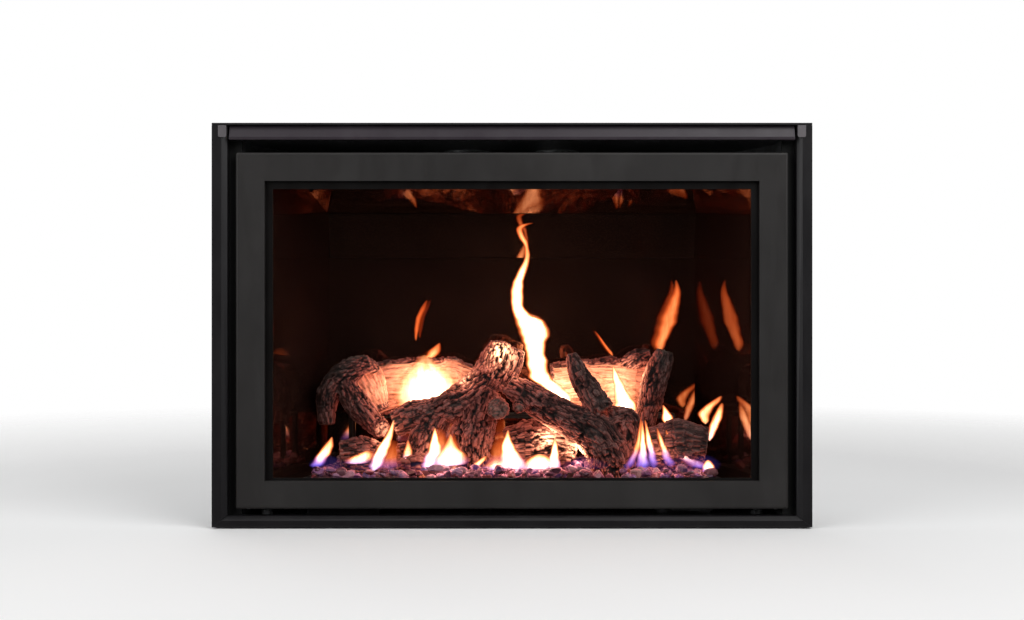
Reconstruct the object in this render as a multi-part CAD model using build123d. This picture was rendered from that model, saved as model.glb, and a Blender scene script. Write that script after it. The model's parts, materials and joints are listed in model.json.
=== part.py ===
from build123d import *
import math
import os

os.makedirs("parts", exist_ok=True)

# A direct-vent gas fireplace insert, in millimetres. X runs to the viewer's right, Y to the back
# and Z up. The pieces are laid out with Y = 0 on the front face of the trim and Z = 0 under the
# levelling feet; save() then moves them back to the middle of the object's depth.

# ---- Driving dimensions ----
trim_width = 965.0
trim_height = 650.0
trim_depth = 30.0
trim_lift = 2.5
trim_sheet = 1.8
trim_flange = 14.0
side_bar = 24.0
side_flat = 15.5
bottom_bar = 17.5
bevel_depth = 7.0
top_lip = 4.0

hood_drop = 27.0
hood_face_drop = 18.5
hood_top_set = 7.0
hood_nose_set = 1.2
hood_return = 20.0
hood_end_gap = 3.5
clip_width = 13.0
clip_drop = 19.0
clip_sheet = 1.2
clip_leg = 5.0

door_gap_side = 13.5
door_gap_top = 20.0
door_gap_bottom = 11.0
door_set = 6.0
door_border_side = 46.5
door_border_bottom = 45.1
door_border_top = 46.0
door_sheet = 2.0
door_return = 12.0
door_inner_return = 8.0
door_round = 4.0

glass_rail_side = 12.5
glass_rail_top = 13.0
glass_rail_bottom = 4.3
glass_frame_sheet = 2.0
glass_frame_reach = 28.0
glass_frame_depth = 14.0
glass_thickness = 5.0
glass_play = 2.0
rope_size = 8.7
rope_seat_gap = 0.3

sheet = 1.5
casing_reach = 42.5
casing_flange = 32.0
casing_straight = 120.0
casing_depth = 402.0
casing_back_inset = 90.0
casing_bevel_down = 53.0
casing_bevel_in = 40.0
floor_gap = 12.0
casing_air_gap = 1.0
panel_fit = 0.15

firebox_side_space = 48.0
firebox_taper = 0.2127
firebox_floor_z = 60.5
firebox_air_top = 53.0
front_plate_edge = 2.5
relief_inset = 157.0
relief_width = 120.0
relief_length = 50.0
relief_y = 92.0
flap_lap = 8.0
flap_hinge_y = 160.0
flap_rod_r = 2.0

liner = 4.0
seam_gap = 0.8
back_seam_drop = 132.0
ceiling_rear_drop = 52.0
ceiling_bend_drop = 14.0
ceiling_front_drop = 7.0
ceiling_bend_share = 0.6
upper_back_lean = 10.0
exhaust_slot_half = 150.0
exhaust_slot_width = 35.0

hinge_height = 4.9
hinge_set = 15.0
hinge_pin_r = 3.0
running_gap = 0.05
hinge_ear = 3.0
hinge_nose_r = 5.0
pivot_reach = 12.0

pan_front_y = 58.0
pan_rear_space = 26.0
pan_front_inset = 52.0
pan_rear_inset = 92.0
pan_wall_gap = 12.0
pan_height = 10.0
port_length = 9.0
port_width = 2.5
port_count = 12

air_box_half = 150.0
air_box_front = 110.0
air_box_rear = 240.0
air_box_low = 20.0
box_sheet = 1.2
venturi_x = 0.0
venturi_z = 38.0
venturi_r = 15.0
venturi_wall = 1.5
throat_share = 8 / 21
shutter_sheet = 1.5
shutter_front = 144.0
shutter_length = 20.0
shutter_turn = 30.0
lever_thick = 3.0
lever_half = 2.5
lever_reach = 34.0

pilot_inset = 95.0
pilot_rear_space = 66.0
pilot_pipe_r = 2.0
pilot_pipe_z = 32.0

rack_height = 94.0
rack_half = 285.0
rack_bar = 7.0
rail_spread = 20.0
rear_log_r = 48.0
upright_space = 69.0
bed_half_drawn = 340.0
bed_depth_drawn = 232.0
stone_size = 24.0
stone_pitch = 27.0
stone_height = 13.0
stone_rows = 5

flue_r = 38.0
flue_wall = 1.0
flue_rise = 40.0
flue_x = 80.0
flue_rear_space = 66.0
flue_flange = 10.0
pipe_gap = 0.6
restrictor_lap = 5.0
rail_drop = 6.0
duct_left = -150.0
duct_right = -10.0
duct_thickness = 24.0
duct_gap = 2.5

foot_head_r = 15.0
foot_head_height = 6.0
foot_stem_r = 5.0
foot_stem_top = 42.0
foot_gap = 0.3

wheel_r = 24.0
wheel_length = 280.0
wheel_blades = 16
blade_sheet = 0.9
wheel_shaft_r = 4.0
wheel_inset = 240.0
wheel_z = 52.0
housing_gap = 3.0
housing_sheet = 1.2
housing_end_gap = 10.0

valve_offset = 40.0
valve_half = 50.0
valve_front = 74.0
valve_rear = 140.0
knob_z = 36.0
main_knob_offset = -27.0
flame_knob_offset = 23.0
main_knob_r = 13.0
flame_knob_r = 11.0
knob_shaft_r = 3.0
knob_gap = 0.5
manifold_r = 5.0
manifold_y = 126.0
gas_inlet_y = 105.0
gas_inlet_z = 38.0
gas_inlet_r = 13.0
gas_bore_r = 7.6
gas_bore_length = 14.0

power_y = 82.0
power_z = 40.0
power_body_half = 14.0
power_body_rise = 10.5
receiver_side_space = 102.0
receiver_length = 120.0
receiver_front = 62.0
receiver_depth = 64.0
receiver_top = 50.0
slider_inset = 52.0
slider_half = 4.0
slider_low = 30.0
slider_high = 35.0
slider_travel = 8.0
slider_gap = 0.4

# ---- Planes that several pieces share ----
trim_half = trim_width / 2
trim_top = trim_lift + trim_height
hood_bottom = trim_top - hood_drop
opening_half = trim_half - side_bar
door_half = opening_half - door_gap_side
door_bottom = trim_lift + bottom_bar + door_gap_bottom
door_top = hood_bottom - door_gap_top
window_half = door_half - door_border_side
window_bottom = door_bottom + door_border_bottom
window_top = door_top - door_border_top
sight_half = window_half - glass_rail_side
sight_bottom = window_bottom + glass_rail_bottom
sight_top = window_top - glass_rail_top
glass_front = door_set + door_inner_return + glass_frame_sheet
glass_back = glass_front + glass_thickness
frame_half = sight_half + glass_frame_reach
frame_bottom = sight_bottom - glass_frame_reach + 6.0
frame_top = sight_top + glass_frame_reach

casing_half = trim_half - casing_reach
casing_top_z = hood_bottom + sheet + casing_air_gap
casing_front = trim_depth - sheet
inner_half = casing_half - sheet
floor_top = floor_gap + sheet
front_plate = trim_depth
front_plate_back = front_plate + sheet
casing_back_half = casing_half - casing_back_inset
firebox_half = casing_half - firebox_side_space
blower_near = wheel_r + housing_gap
blower_y = casing_depth - sheet - 0.3 - housing_sheet - blower_near
duct_rear = blower_y - blower_near - 1.0
duct_leg_front = duct_rear - duct_thickness
firebox_rear = duct_leg_front - duct_gap - sheet
firebox_rear_half = firebox_half - firebox_taper * (firebox_rear - front_plate_back)
firebox_floor_top = firebox_floor_z + sheet
firebox_top_z = casing_top_z - sheet - firebox_air_top - sheet
deck_top = firebox_floor_top + pan_height
rack_top = deck_top + rack_height
relief_x = firebox_half - relief_inset
back_seam_z = firebox_top_z - back_seam_drop
ceiling_rear_z = firebox_top_z - ceiling_rear_drop
ceiling_bend_z = firebox_top_z - ceiling_bend_drop
ceiling_front_z = firebox_top_z - ceiling_front_drop
pan_back_y = firebox_rear - pan_rear_space
shutter_rear = shutter_front + shutter_length
throat_y = shutter_rear + throat_share * (pan_back_y - shutter_rear)
pan_front_half = firebox_half - pan_front_inset
pilot_x = pan_front_half - pilot_inset
pilot_y = pan_back_y - pilot_rear_space
flue_y = firebox_rear - flue_rear_space
flue_top_z = casing_top_z + flue_rise
restrictor_depth = 2 * (flue_r + restrictor_lap)
restrictor_length = 2 * (flue_r + restrictor_lap) + 2
restrictor_start = flue_x + flue_r + 2
rail_end = restrictor_start + restrictor_length + 6
wheel_x = casing_back_half - wheel_inset
housing_left = wheel_x - wheel_length / 2 - housing_end_gap
housing_right = wheel_x + wheel_length / 2 + housing_end_gap
valve_x = pilot_x + valve_offset
main_knob_x = valve_x + main_knob_offset
flame_knob_x = valve_x + flame_knob_offset
receiver_left = receiver_side_space - casing_half
receiver_right = receiver_left + receiver_length
slider_x = receiver_left + slider_inset
mid_depth = (casing_depth - clip_sheet) / 2
hinge_z = door_bottom + hinge_height


# ---- Small tools for shapes ----
def block(x0, x1, y0, y1, z0, z1):
    """A box between two corners."""
    centre = Pos((x0 + x1) / 2, (y0 + y1) / 2, (z0 + z1) / 2)
    return centre * Box(x1 - x0, y1 - y0, z1 - z0)


def plan_prism(points, z0, z1):
    """A plan outline of (x, y) points, raised from z0 to z1."""
    face = make_face(Polyline(*points, close=True))
    return Pos(0, 0, z0) * extrude(face, z1 - z0)


def side_prism(points, x0, x1):
    """A side outline of (y, z) points, drawn out from x0 to x1."""
    face = make_face(Polyline(*points, close=True))
    return extrude(Plane.YZ.offset(x0) * face, x1 - x0)


def front_prism(points, y0, y1):
    """A front outline of (x, z) points, drawn back from y0 to y1."""
    face = make_face(Polyline(*points, close=True))
    return extrude(Plane.XZ.offset(-y1) * face, y1 - y0)


def bent(path, thickness):
    """Outline of a bent sheet: path is one face of it, and the sheet lies to the path's left."""
    normals = []
    for (x0, y0), (x1, y1) in zip(path, path[1:]):
        length = math.hypot(x1 - x0, y1 - y0)
        normals.append(((y0 - y1) / length, (x1 - x0) / length))
    other = []
    for index, (x, y) in enumerate(path):
        before = normals[max(index - 1, 0)]
        after = normals[min(index, len(normals) - 1)]
        step = thickness / (1 + before[0] * after[0] + before[1] * after[1])
        other.append((x + step * (before[0] + after[0]), y + step * (before[1] + after[1])))
    return path + other[::-1]


def rod_x(x0, x1, y, z, radius):
    """A round rod along X."""
    return extrude(Plane.YZ.offset(x0) * Pos(y, z) * Circle(radius), x1 - x0)


def rod_y(y0, y1, x, z, radius):
    """A round rod along Y."""
    return extrude(Plane.XZ.offset(-y1) * Pos(x, z) * Circle(radius), y1 - y0)


def rod_z(z0, z1, x, y, radius):
    """A round rod along Z."""
    return Pos(x, y, z0) * extrude(Circle(radius), z1 - z0)


def bar_x(x0, x1, y, z, radius, sides):
    """A bar along X with flat sides, such as a hexagon."""
    return extrude(Plane.YZ.offset(x0) * Pos(y, z) * RegularPolygon(radius, sides), x1 - x0)


def bar_y(y0, y1, x, z, radius, sides):
    """A bar along Y with flat sides."""
    return extrude(Plane.XZ.offset(-y1) * Pos(x, z) * RegularPolygon(radius, sides), y1 - y0)


def bar_z(z0, z1, x, y, radius, sides):
    """A bar along Z with flat sides."""
    return Pos(x, y, z0) * extrude(RegularPolygon(radius, sides), z1 - z0)


def frame_ring(half_out, low_out, high_out, half_in, low_in, high_in, y0, y1):
    """A flat upright frame: an outer rectangle with an inner one cut through."""
    outer = block(-half_out, half_out, y0, y1, low_out, high_out)
    return outer - block(-half_in, half_in, y0 - 1, y1 + 1, low_in, high_in)


def mirrored(shape):
    """The same piece on the other side of the middle plane."""
    return mirror(shape, about=Plane.YZ)


def scatter(index, salt):
    """An uneven number from 0 to 1 that is always the same for the same index."""
    return (math.sin(12.9898 * index + 78.233 * salt) * 43758.5453) % 1.0


def save(name, *pieces):
    """Write one node, whose pieces stay separate solids."""
    solids = [solid for piece in pieces for solid in piece.solids()]
    shape = solids[0] if len(solids) == 1 else Compound(solids)
    export_step(Pos(0, -mid_depth, 0) * shape, f"parts/{name}.step")


# ---- Trim frame and hood ----
def trim_side():
    """Right bar of the trim: a folded channel with a flat face and an inner bevel."""
    path = [
        (opening_half, casing_front),
        (opening_half, bevel_depth),
        (trim_half - side_flat, 0.0),
        (trim_half, 0.0),
        (trim_half, trim_depth),
        (trim_half - trim_flange + 4.0, trim_depth),
    ]
    bar = plan_prism(bent(path, trim_sheet), trim_lift, trim_top - top_lip)
    corner = [
        (trim_half + 1, trim_lift - bottom_bar / side_bar),
        (trim_half + 1, trim_top),
        (opening_half, trim_top),
        (opening_half, trim_lift + bottom_bar),
    ]
    return (bar & front_prism(corner, -1, trim_depth + 1)) - trim_top_bar()


def trim_top_bar():
    """Top bar: a flat shelf with a thin front lip and a rear flange."""
    path = [
        (trim_depth, trim_top - trim_flange),
        (trim_depth, trim_top),
        (0.0, trim_top),
        (0.0, trim_top - top_lip),
    ]
    return side_prism(bent(path, trim_sheet), -trim_half, trim_half)


def trim_bottom_bar():
    """Bottom bar, mitred into the side bars at both ends."""
    flat = bottom_bar * side_flat / side_bar
    top = trim_lift + bottom_bar
    path = [
        (trim_depth, trim_lift),
        (0.0, trim_lift),
        (0.0, trim_lift + flat),
        (bevel_depth, top),
        (casing_front, top),
    ]
    outline = bent(path[::-1], trim_sheet)
    bar = side_prism(outline, -trim_half, trim_half)
    mitre = [(-trim_half, trim_lift), (trim_half, trim_lift), (opening_half, top), (-opening_half, top)]
    return bar & front_prism(mitre, -1, trim_depth + 1)


def trim_hood():
    """Tilted deflector under the top bar, which throws the warm air forward."""
    half = opening_half - hood_end_gap
    top = trim_top - top_lip - 0.5
    path = [
        (trim_depth - trim_sheet, top),
        (hood_top_set, top),
        (hood_nose_set, top - hood_face_drop + 0.5),
        (hood_nose_set, hood_bottom),
        (hood_return, hood_bottom),
    ]
    return side_prism(bent(path, trim_sheet), -half, half)


def hood_clip():
    """Right corner clip that holds the end of the hood."""
    x0 = opening_half + 0.6
    top = trim_top - top_lip
    plate = block(x0, x0 + clip_width, -clip_sheet, 0, top - clip_drop, top)
    plate = fillet(plate.edges().filter_by(Axis.Y).group_by(Axis.Z)[0], 2.5)
    return plate + block(x0, x0 + clip_sheet, -clip_sheet, clip_leg, top - clip_drop + 3, top - 2)


save("trim_right", trim_side())
save("trim_left", mirrored(trim_side()))
save("trim_top", trim_top_bar())
save("trim_bottom", trim_bottom_bar())
save("trim_hood", trim_hood())
save("hood_clips", hood_clip(), mirrored(hood_clip()))


# ---- Door: decorative face, glass frame, glass, rope seal and pivots ----
def door_face():
    """Pressed face plate with soft outer edges, returned all round behind."""
    back = door_set + door_return
    skin = door_set + door_sheet
    plate = block(-door_half, door_half, door_set, back, door_bottom, door_top)
    front_edges = plate.faces().sort_by(Axis.Y)[0].edges()
    plate = fillet(front_edges, door_round)
    plate = fillet(plate.edges().filter_by(Axis.Y), 3.0)
    plate -= block(-window_half, window_half, door_set - 1, back + 1, window_bottom, window_top)
    channel = frame_ring(
        door_half - door_sheet, door_bottom + door_sheet, door_top - door_sheet,
        window_half + door_sheet, window_bottom - door_sheet, window_top + door_sheet,
        skin, back + 1,
    )
    plate -= channel
    inner_back = door_set + door_inner_return
    plate -= block(
        -window_half - 2 * door_sheet, window_half + 2 * door_sheet, inner_back, back + 1,
        window_bottom - 2 * door_sheet, window_top + 2 * door_sheet,
    )
    notch = block(
        frame_half + 1, door_half - door_sheet, skin, back + 1,
        door_bottom - 1, door_bottom + door_sheet + 1,
    )
    return plate - notch - mirrored(notch)


def glass_frame():
    """Black retaining frame: a front lip over the glass edge and a wall around it."""
    lip_front = door_set + door_inner_return
    wall = glass_frame_sheet
    lip = frame_ring(
        frame_half, frame_bottom, frame_top, sight_half, sight_bottom, sight_top,
        lip_front, lip_front + wall,
    )
    rim = frame_ring(
        frame_half, frame_bottom, frame_top, frame_half - wall, frame_bottom + wall, frame_top - wall,
        lip_front + wall, lip_front + glass_frame_depth,
    )
    return lip + rim


def glass_pane():
    """Clear ceramic glass, with ground edges."""
    inset = glass_frame_sheet + glass_play
    pane = block(
        -frame_half + inset, frame_half - inset, glass_front, glass_back,
        frame_bottom + inset, frame_top - inset,
    )
    return chamfer(pane.edges().filter_by(Axis.Y, reverse=True), 0.8)


def glass_gasket():
    """Rope seal between the glass and the firebox front."""
    y0 = glass_back
    y1 = front_plate - rope_seat_gap
    half = gasket_half()
    low = front_opening_bottom() - 1.0
    high = front_opening_top() + 1.0
    ring = frame_ring(half + rope_size, low - rope_size, high + rope_size, half, low, high, y0, y1)
    return fillet(ring.edges().filter_by(Axis.Y), 4.0)


def gasket_half():
    """Inner half width of the rope seal."""
    return front_opening_half() + 1.0


def front_opening_half():
    """Half width of the opening in the firebox front."""
    return sight_half + 5.0


def front_opening_bottom():
    """Lower edge of the opening in the firebox front."""
    return sight_bottom - 6.5


def front_opening_top():
    """Upper edge of the opening in the firebox front."""
    return sight_top + 11.5


def door_pivot():
    """Right pivot: an ear on the back of the face plate with a pin that points outwards."""
    skin = door_set + door_sheet
    x1 = frame_half + pivot_reach
    x0 = x1 - hinge_ear
    arc = []
    for step in range(9):
        turn = math.radians(-90 + 22.5 * step)
        arc.append((hinge_set + hinge_nose_r * math.cos(turn), hinge_z + hinge_nose_r * math.sin(turn)))
    outline = [(skin, hinge_z - hinge_nose_r)] + arc + [(skin + 2.5, hinge_z + 26), (skin, hinge_z + 26)]
    ear = side_prism(outline, x0, x1)
    foot = block(frame_half + 2.0, x1, skin, skin + 2, hinge_z - 3, hinge_z + 26)
    pin = rod_x(x0, x1 + 2 * hinge_ear + 2, hinge_set, hinge_z, hinge_pin_r)
    return ear + foot + pin


save("door_face", door_face())
save("glass_frame", glass_frame())
save("glass_pane", glass_pane())
save("glass_gasket", glass_gasket())
save("door_pivots", door_pivot(), mirrored(door_pivot()))


# ---- Outer casing ----
def casing_path():
    """Plan of the right casing side, along its outer face."""
    return [
        (casing_half + casing_flange, trim_depth),
        (casing_half, trim_depth),
        (casing_half, casing_straight),
        (casing_back_half, casing_depth),
    ]


def casing_inside(gap, z0, z1):
    """The space between the two casing sides, less a gap."""
    path = casing_path()
    inner = bent(path, sheet + gap)[len(path):][::-1][1:]
    right = [(inner[0][0], casing_front)] + inner[1:]
    left = [(-x, y) for x, y in right[::-1]]
    return plan_prism(right + left, z0, z1)


def bevel_cut(extra):
    """What the sloping top of the back takes off, drawn over the whole width."""
    low = casing_top_z - casing_bevel_down
    y_top = casing_depth - casing_bevel_in
    slope = casing_bevel_in / casing_bevel_down
    rise = 40.0
    outline = [
        (casing_depth, low),
        (casing_depth + 60, low),
        (casing_depth + 60, casing_top_z + rise),
        (y_top - slope * rise, casing_top_z + rise),
    ]
    return Pos(0, -extra, 0) * side_prism(outline, -trim_half, trim_half)


def casing_side():
    """Right side: front flange, straight wall and tapered wall folded from one sheet."""
    wall = plan_prism(bent(casing_path(), sheet), floor_gap, casing_top_z)
    wall -= bevel_cut(0)
    return wall


def casing_right():
    """Right side with the hole for the gas inlet."""
    hole = rod_x(casing_half - 10, casing_half + 10, gas_inlet_y, gas_inlet_z, gas_inlet_r + pipe_gap)
    return casing_side() - hole


def casing_left():
    """Left side with the cut-out for the power inlet."""
    cut = block(
        -casing_half - 5, -casing_half + 5,
        power_y - power_body_half, power_y + power_body_half,
        power_z - power_body_rise, power_z + power_body_rise,
    )
    return mirrored(casing_side()) - cut


def casing_back():
    """Back: upright sheet with a sloping top."""
    path = [
        (casing_depth, floor_gap),
        (casing_depth, casing_top_z - casing_bevel_down),
        (casing_depth - casing_bevel_in, casing_top_z),
    ]
    back = side_prism(bent(path, sheet), -casing_half, casing_half)
    return back & casing_inside(panel_fit, floor_gap - 1, casing_top_z + 1)


def casing_top():
    """Top: flat sheet with an upturned front flange and two pipe holes."""
    rear = casing_depth - casing_bevel_in - 2.5
    flange_top = trim_top - trim_flange - 0.5
    path = [(casing_front, flange_top), (casing_front, casing_top_z - sheet), (rear, casing_top_z - sheet)]
    top = side_prism(bent(path[::-1], -sheet), -casing_half, casing_half)
    top &= casing_inside(panel_fit, casing_top_z - 10, casing_top_z + 30)
    for x in (flue_x, -flue_x):
        top -= rod_z(casing_top_z - 5, casing_top_z + 5, x, flue_y, flue_r + pipe_gap)
    return top


def foot_places():
    """Plan places of the four levelling feet."""
    return {
        "foot_front_left": (-(casing_half - 38), 62.0),
        "foot_front_right": (casing_half - 38, 62.0),
        "foot_rear_left": (-(casing_back_half - 32), casing_depth - 34),
        "foot_rear_right": (casing_back_half - 32, casing_depth - 34),
    }


def casing_base():
    """Base: flat sheet with a down-turned front flange and a welded nut for each foot."""
    rear = casing_depth - sheet - panel_fit
    path = [(casing_front, floor_gap - 7), (casing_front, floor_top), (rear, floor_top)]
    base = side_prism(bent(path[::-1], sheet), -casing_half, casing_half)
    base &= casing_inside(panel_fit, 0, floor_top + 1)
    for x, y in foot_places().values():
        base += bar_z(floor_top, floor_top + 9, x, y, 9.5, 6)
        base -= rod_z(0, floor_top + 12, x, y, foot_stem_r + foot_gap)
    return base


def levelling_foot(x, y):
    """Levelling foot: a long bolt with its hexagon head downwards."""
    head = bar_z(0, foot_head_height, x, y, foot_head_r, 6)
    return head + rod_z(foot_head_height, foot_stem_top, x, y, foot_stem_r)


save("casing_right", casing_right())
save("casing_left", casing_left())
save("casing_back", casing_back())
save("casing_top", casing_top())
save("casing_base", casing_base())
for foot_name, (foot_x, foot_y) in foot_places().items():
    save(foot_name, levelling_foot(foot_x, foot_y))


# ---- Firebox ----
def firebox_x(y):
    """Half width inside the firebox sheet at depth y."""
    return firebox_half - firebox_taper * (y - front_plate_back)


def firebox_shell():
    """Sides and back of the firebox, folded from one sheet."""
    path = [
        (-firebox_half, front_plate_back),
        (-firebox_rear_half, firebox_rear),
        (firebox_rear_half, firebox_rear),
        (firebox_half, front_plate_back),
    ]
    return plan_prism(bent(path, sheet), firebox_floor_top, firebox_top_z)


def firebox_front():
    """Front plate of the firebox, with the window opening."""
    return frame_ring(
        inner_half - front_plate_edge, firebox_floor_z - 4.5, firebox_top_z + sheet + 18,
        front_opening_half(), front_opening_bottom(), front_opening_top(),
        front_plate, front_plate_back,
    )


def firebox_plan(edge, z0, z1):
    """The firebox's plan, larger all round by edge."""
    points = [
        (-firebox_half - edge, front_plate_back),
        (-firebox_rear_half - edge, firebox_rear + edge),
        (firebox_rear_half + edge, firebox_rear + edge),
        (firebox_half + edge, front_plate_back),
    ]
    return plan_prism(points, z0, z1)


def firebox_floor():
    """Floor of the firebox, with the burner throat and the pilot hole."""
    floor = firebox_plan(sheet, firebox_floor_z, firebox_floor_top)
    hole = throat_half() + pipe_gap
    floor -= block(
        venturi_x - hole, venturi_x + hole, throat_y - hole, throat_y + hole,
        firebox_floor_z - 1, firebox_floor_top + 1,
    )
    floor -= rod_z(firebox_floor_z - 1, firebox_floor_top + 1, pilot_x, pilot_y, pilot_pipe_r + 1)
    return floor


def throat_half():
    """Half width of the square box that carries the gas and air up through the floor."""
    return venturi_r + 1.0


def firebox_top():
    """Top of the firebox: flue hole, relief holes, hinge rods and restrictor rails."""
    under = firebox_top_z
    top = firebox_plan(sheet, under, under + sheet)
    top -= rod_z(under - 1, under + sheet + 1, flue_x, flue_y, flue_r - 2)
    for side in (-1, 1):
        x0 = side * relief_x - relief_width / 2
        x1 = side * relief_x + relief_width / 2
        top -= block(x0, x1, relief_y, relief_y + relief_length, under - 1, under + sheet + 1)
        ear_out = flap_width() / 2 + 3.5
        hinge_y, ear_top = flap_hinge_y, flap_hinge_z() + 4
        for end in (-1, 1):
            x_ear = side * relief_x + end * ear_out
            top += block(x_ear - 1, x_ear + 1, hinge_y - 4, hinge_y + 4, under, ear_top)
        rod_left = side * relief_x - ear_out
        top += rod_x(rod_left, rod_left + 2 * ear_out, hinge_y, flap_hinge_z(), flap_rod_r)
    for end in (-1, 1):
        y_wall = flue_y + end * (restrictor_depth / 2 + 1.5)
        low = under - rail_drop
        top += block(flue_x - 5, rail_end, y_wall - 0.75, y_wall + 0.75, low, under)
        foot_y = sorted((y_wall, y_wall - end * 6))
        top += block(flue_x - 5, rail_end, foot_y[0], foot_y[1], low, low + 1.2)
    return top


def relief_flap(side):
    """Pressure relief flap: a plate over its hole, with a curl round the hinge rod."""
    half = flap_width() / 2
    under = firebox_top_z + sheet + 0.3
    plate = block(-half, half, relief_y - flap_lap, flap_hinge_y, under, under + sheet)
    curl = bar_x(-half, half, flap_hinge_y, flap_hinge_z(), flap_rod_r + 1.9, 8)
    rib = block(-half + 20, half - 20, relief_y + 14, relief_y + 20, under + sheet, under + sheet + 3)
    flap = plate + curl + rib
    flap -= rod_x(-half - 1, half + 1, flap_hinge_y, flap_hinge_z(), flap_rod_r + running_gap)
    return Pos(side * relief_x, 0, 0) * flap


def flap_width():
    """Width of a relief flap, which laps over its hole."""
    return relief_width + 2 * flap_lap


def flap_hinge_z():
    """Height of the relief flaps' hinge rods."""
    return firebox_top_z + sheet + flap_rod_r + 2.3


def restrictor():
    """Flue restrictor: a sliding plate on rails, with a bent finger tab."""
    low = firebox_top_z - rail_drop + 1.2 + running_gap
    y0 = flue_y - restrictor_depth / 2
    x0 = restrictor_start
    x1 = x0 + restrictor_length
    plate = block(x0, x1, y0, y0 + restrictor_depth, low, low + sheet)
    return plate + block(x1 - sheet, x1, flue_y - 14, flue_y + 14, low - 11, low)


save("firebox_shell", firebox_shell())
save("firebox_front", firebox_front())
save("firebox_floor", firebox_floor())
save("firebox_top", firebox_top())
save("relief_flap_left", relief_flap(-1))
save("relief_flap_right", relief_flap(1))
save("restrictor", restrictor())


# ---- Black glass liners ----
def liner_side():
    """Right liner, flat against the splayed firebox side."""
    y0 = front_plate_back + 1.0
    y1 = firebox_rear - liner - 0.5
    path = [(firebox_x(y0), y0), (firebox_x(y1), y1)]
    return plan_prism(bent(path, liner), firebox_floor_top, firebox_top_z - 2)


def liner_plan(gap, z0, z1):
    """The space between the side liners, less a gap."""
    step = liner * math.hypot(1, firebox_taper) + gap
    y0 = front_plate_back + 1.0
    y1 = firebox_rear
    right = [(firebox_x(y0) - step, y0), (firebox_x(y1) - step, y1)]
    left = [(-x, y) for x, y in right[::-1]]
    return plan_prism(right + left, z0, z1)


def liner_back_lower():
    """Lower back liner, upright."""
    half = firebox_x(firebox_rear) - 0.5
    return block(-half, half, firebox_rear - liner, firebox_rear, firebox_floor_top, back_seam_z)


def liner_back_upper():
    """Upper back liner, which leans a little forward."""
    low = back_seam_z + seam_gap
    high = ceiling_rear_z - 1.0
    y1 = firebox_rear
    path = [(y1 - liner - upper_back_lean, high), (y1 - liner, low)]
    panel = side_prism(bent(path, liner), -firebox_half, firebox_half)
    return panel & liner_plan(0.5, low - 2, high + 3)


def liner_ceiling():
    """Ceiling liner: folded towards the back, with the exhaust slot above the front."""
    y0 = front_plate_back + 2.0
    y2 = firebox_rear - liner - upper_back_lean - 1.0
    y1 = y0 + ceiling_bend_share * (y2 - y0)
    path = [(y0, ceiling_front_z), (y1, ceiling_bend_z), (y2, ceiling_rear_z)]
    panel = side_prism(bent(path, liner), -firebox_half, firebox_half)
    panel &= liner_plan(0.4, ceiling_rear_z - 10, ceiling_front_z + 20)
    half = exhaust_slot_half
    start = y0 + 50
    slot = block(-half, half, start, start + exhaust_slot_width, ceiling_bend_z - 20, ceiling_front_z + 20)
    return panel - slot


save("liner_right", liner_side())
save("liner_left", mirrored(liner_side()))
save("liner_back_lower", liner_back_lower())
save("liner_back_upper", liner_back_upper())
save("liner_ceiling", liner_ceiling())


# ---- Burner ----
def pan_rear_half():
    """Half width of the pan's rear edge, clear of the side liners."""
    return min(firebox_half - pan_rear_inset, firebox_x(pan_back_y) - pan_wall_gap)


def bed_half(y):
    """Half width of the burner pan at depth y."""
    share = (y - pan_front_y) / (pan_back_y - pan_front_y)
    return pan_front_half + share * (pan_rear_half() - pan_front_half)


def burner_pan():
    """Burner pan: a folded tray, upside down, with rows of gas ports."""
    front = pan_front_half
    rear = pan_rear_half()
    y1 = pan_back_y
    outline = [(-front, pan_front_y), (-rear, y1), (rear, y1), (front, pan_front_y)]
    inside = [
        (-front + 2, pan_front_y + sheet), (-rear + 2, y1 - sheet),
        (rear - 2, y1 - sheet), (front - 2, pan_front_y + sheet),
    ]
    pan = plan_prism(outline, firebox_floor_top, deck_top)
    pan -= plan_prism(inside, firebox_floor_top - 1, deck_top - sheet)
    for row in range(2):
        y = pan_front_y + 22 + 62 * row
        count = port_count - row
        for index in range(count):
            x = (index - (count - 1) / 2) * 2 * (bed_half(y) - 26) / (count - 1)
            half_x, half_y = port_length / 2, port_width / 2
            pan -= block(x - half_x, x + half_x, y - half_y, y + half_y, deck_top - sheet - 1, deck_top + 1)
    return pan - rod_z(deck_top - sheet - 1, deck_top + 1, pilot_x, pilot_y, pilot_pipe_r + 1)


def burner_air_box():
    """Sealed air box under the firebox floor, fed by the intake duct."""
    wall = box_sheet
    box = block(-air_box_half, air_box_half, air_box_front, air_box_rear, air_box_low, firebox_floor_z)
    box -= block(
        -air_box_half + wall, air_box_half - wall, air_box_front + wall, air_box_rear - wall,
        air_box_low + wall, firebox_floor_z + 1,
    )
    box -= block(
        duct_left + 2 * wall, duct_right - 2 * wall, air_box_rear - 5, air_box_rear + 1,
        air_box_low + 2 * wall, firebox_floor_z - 4,
    )
    box -= rod_x(air_box_half - 5, air_box_half + 5, manifold_y, venturi_z, manifold_r + 0.3)
    reach = shutter_outer() + lever_thick
    rise = reach * math.sin(math.radians(shutter_turn)) + lever_half + 1
    x0 = venturi_x - reach - 1.5
    x1 = venturi_x - shutter_outer() * math.cos(math.radians(shutter_turn)) + lever_half + 1
    return box - block(x0, x1, air_box_front - 1, air_box_front + 4, venturi_z - rise, venturi_z + rise)


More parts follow.
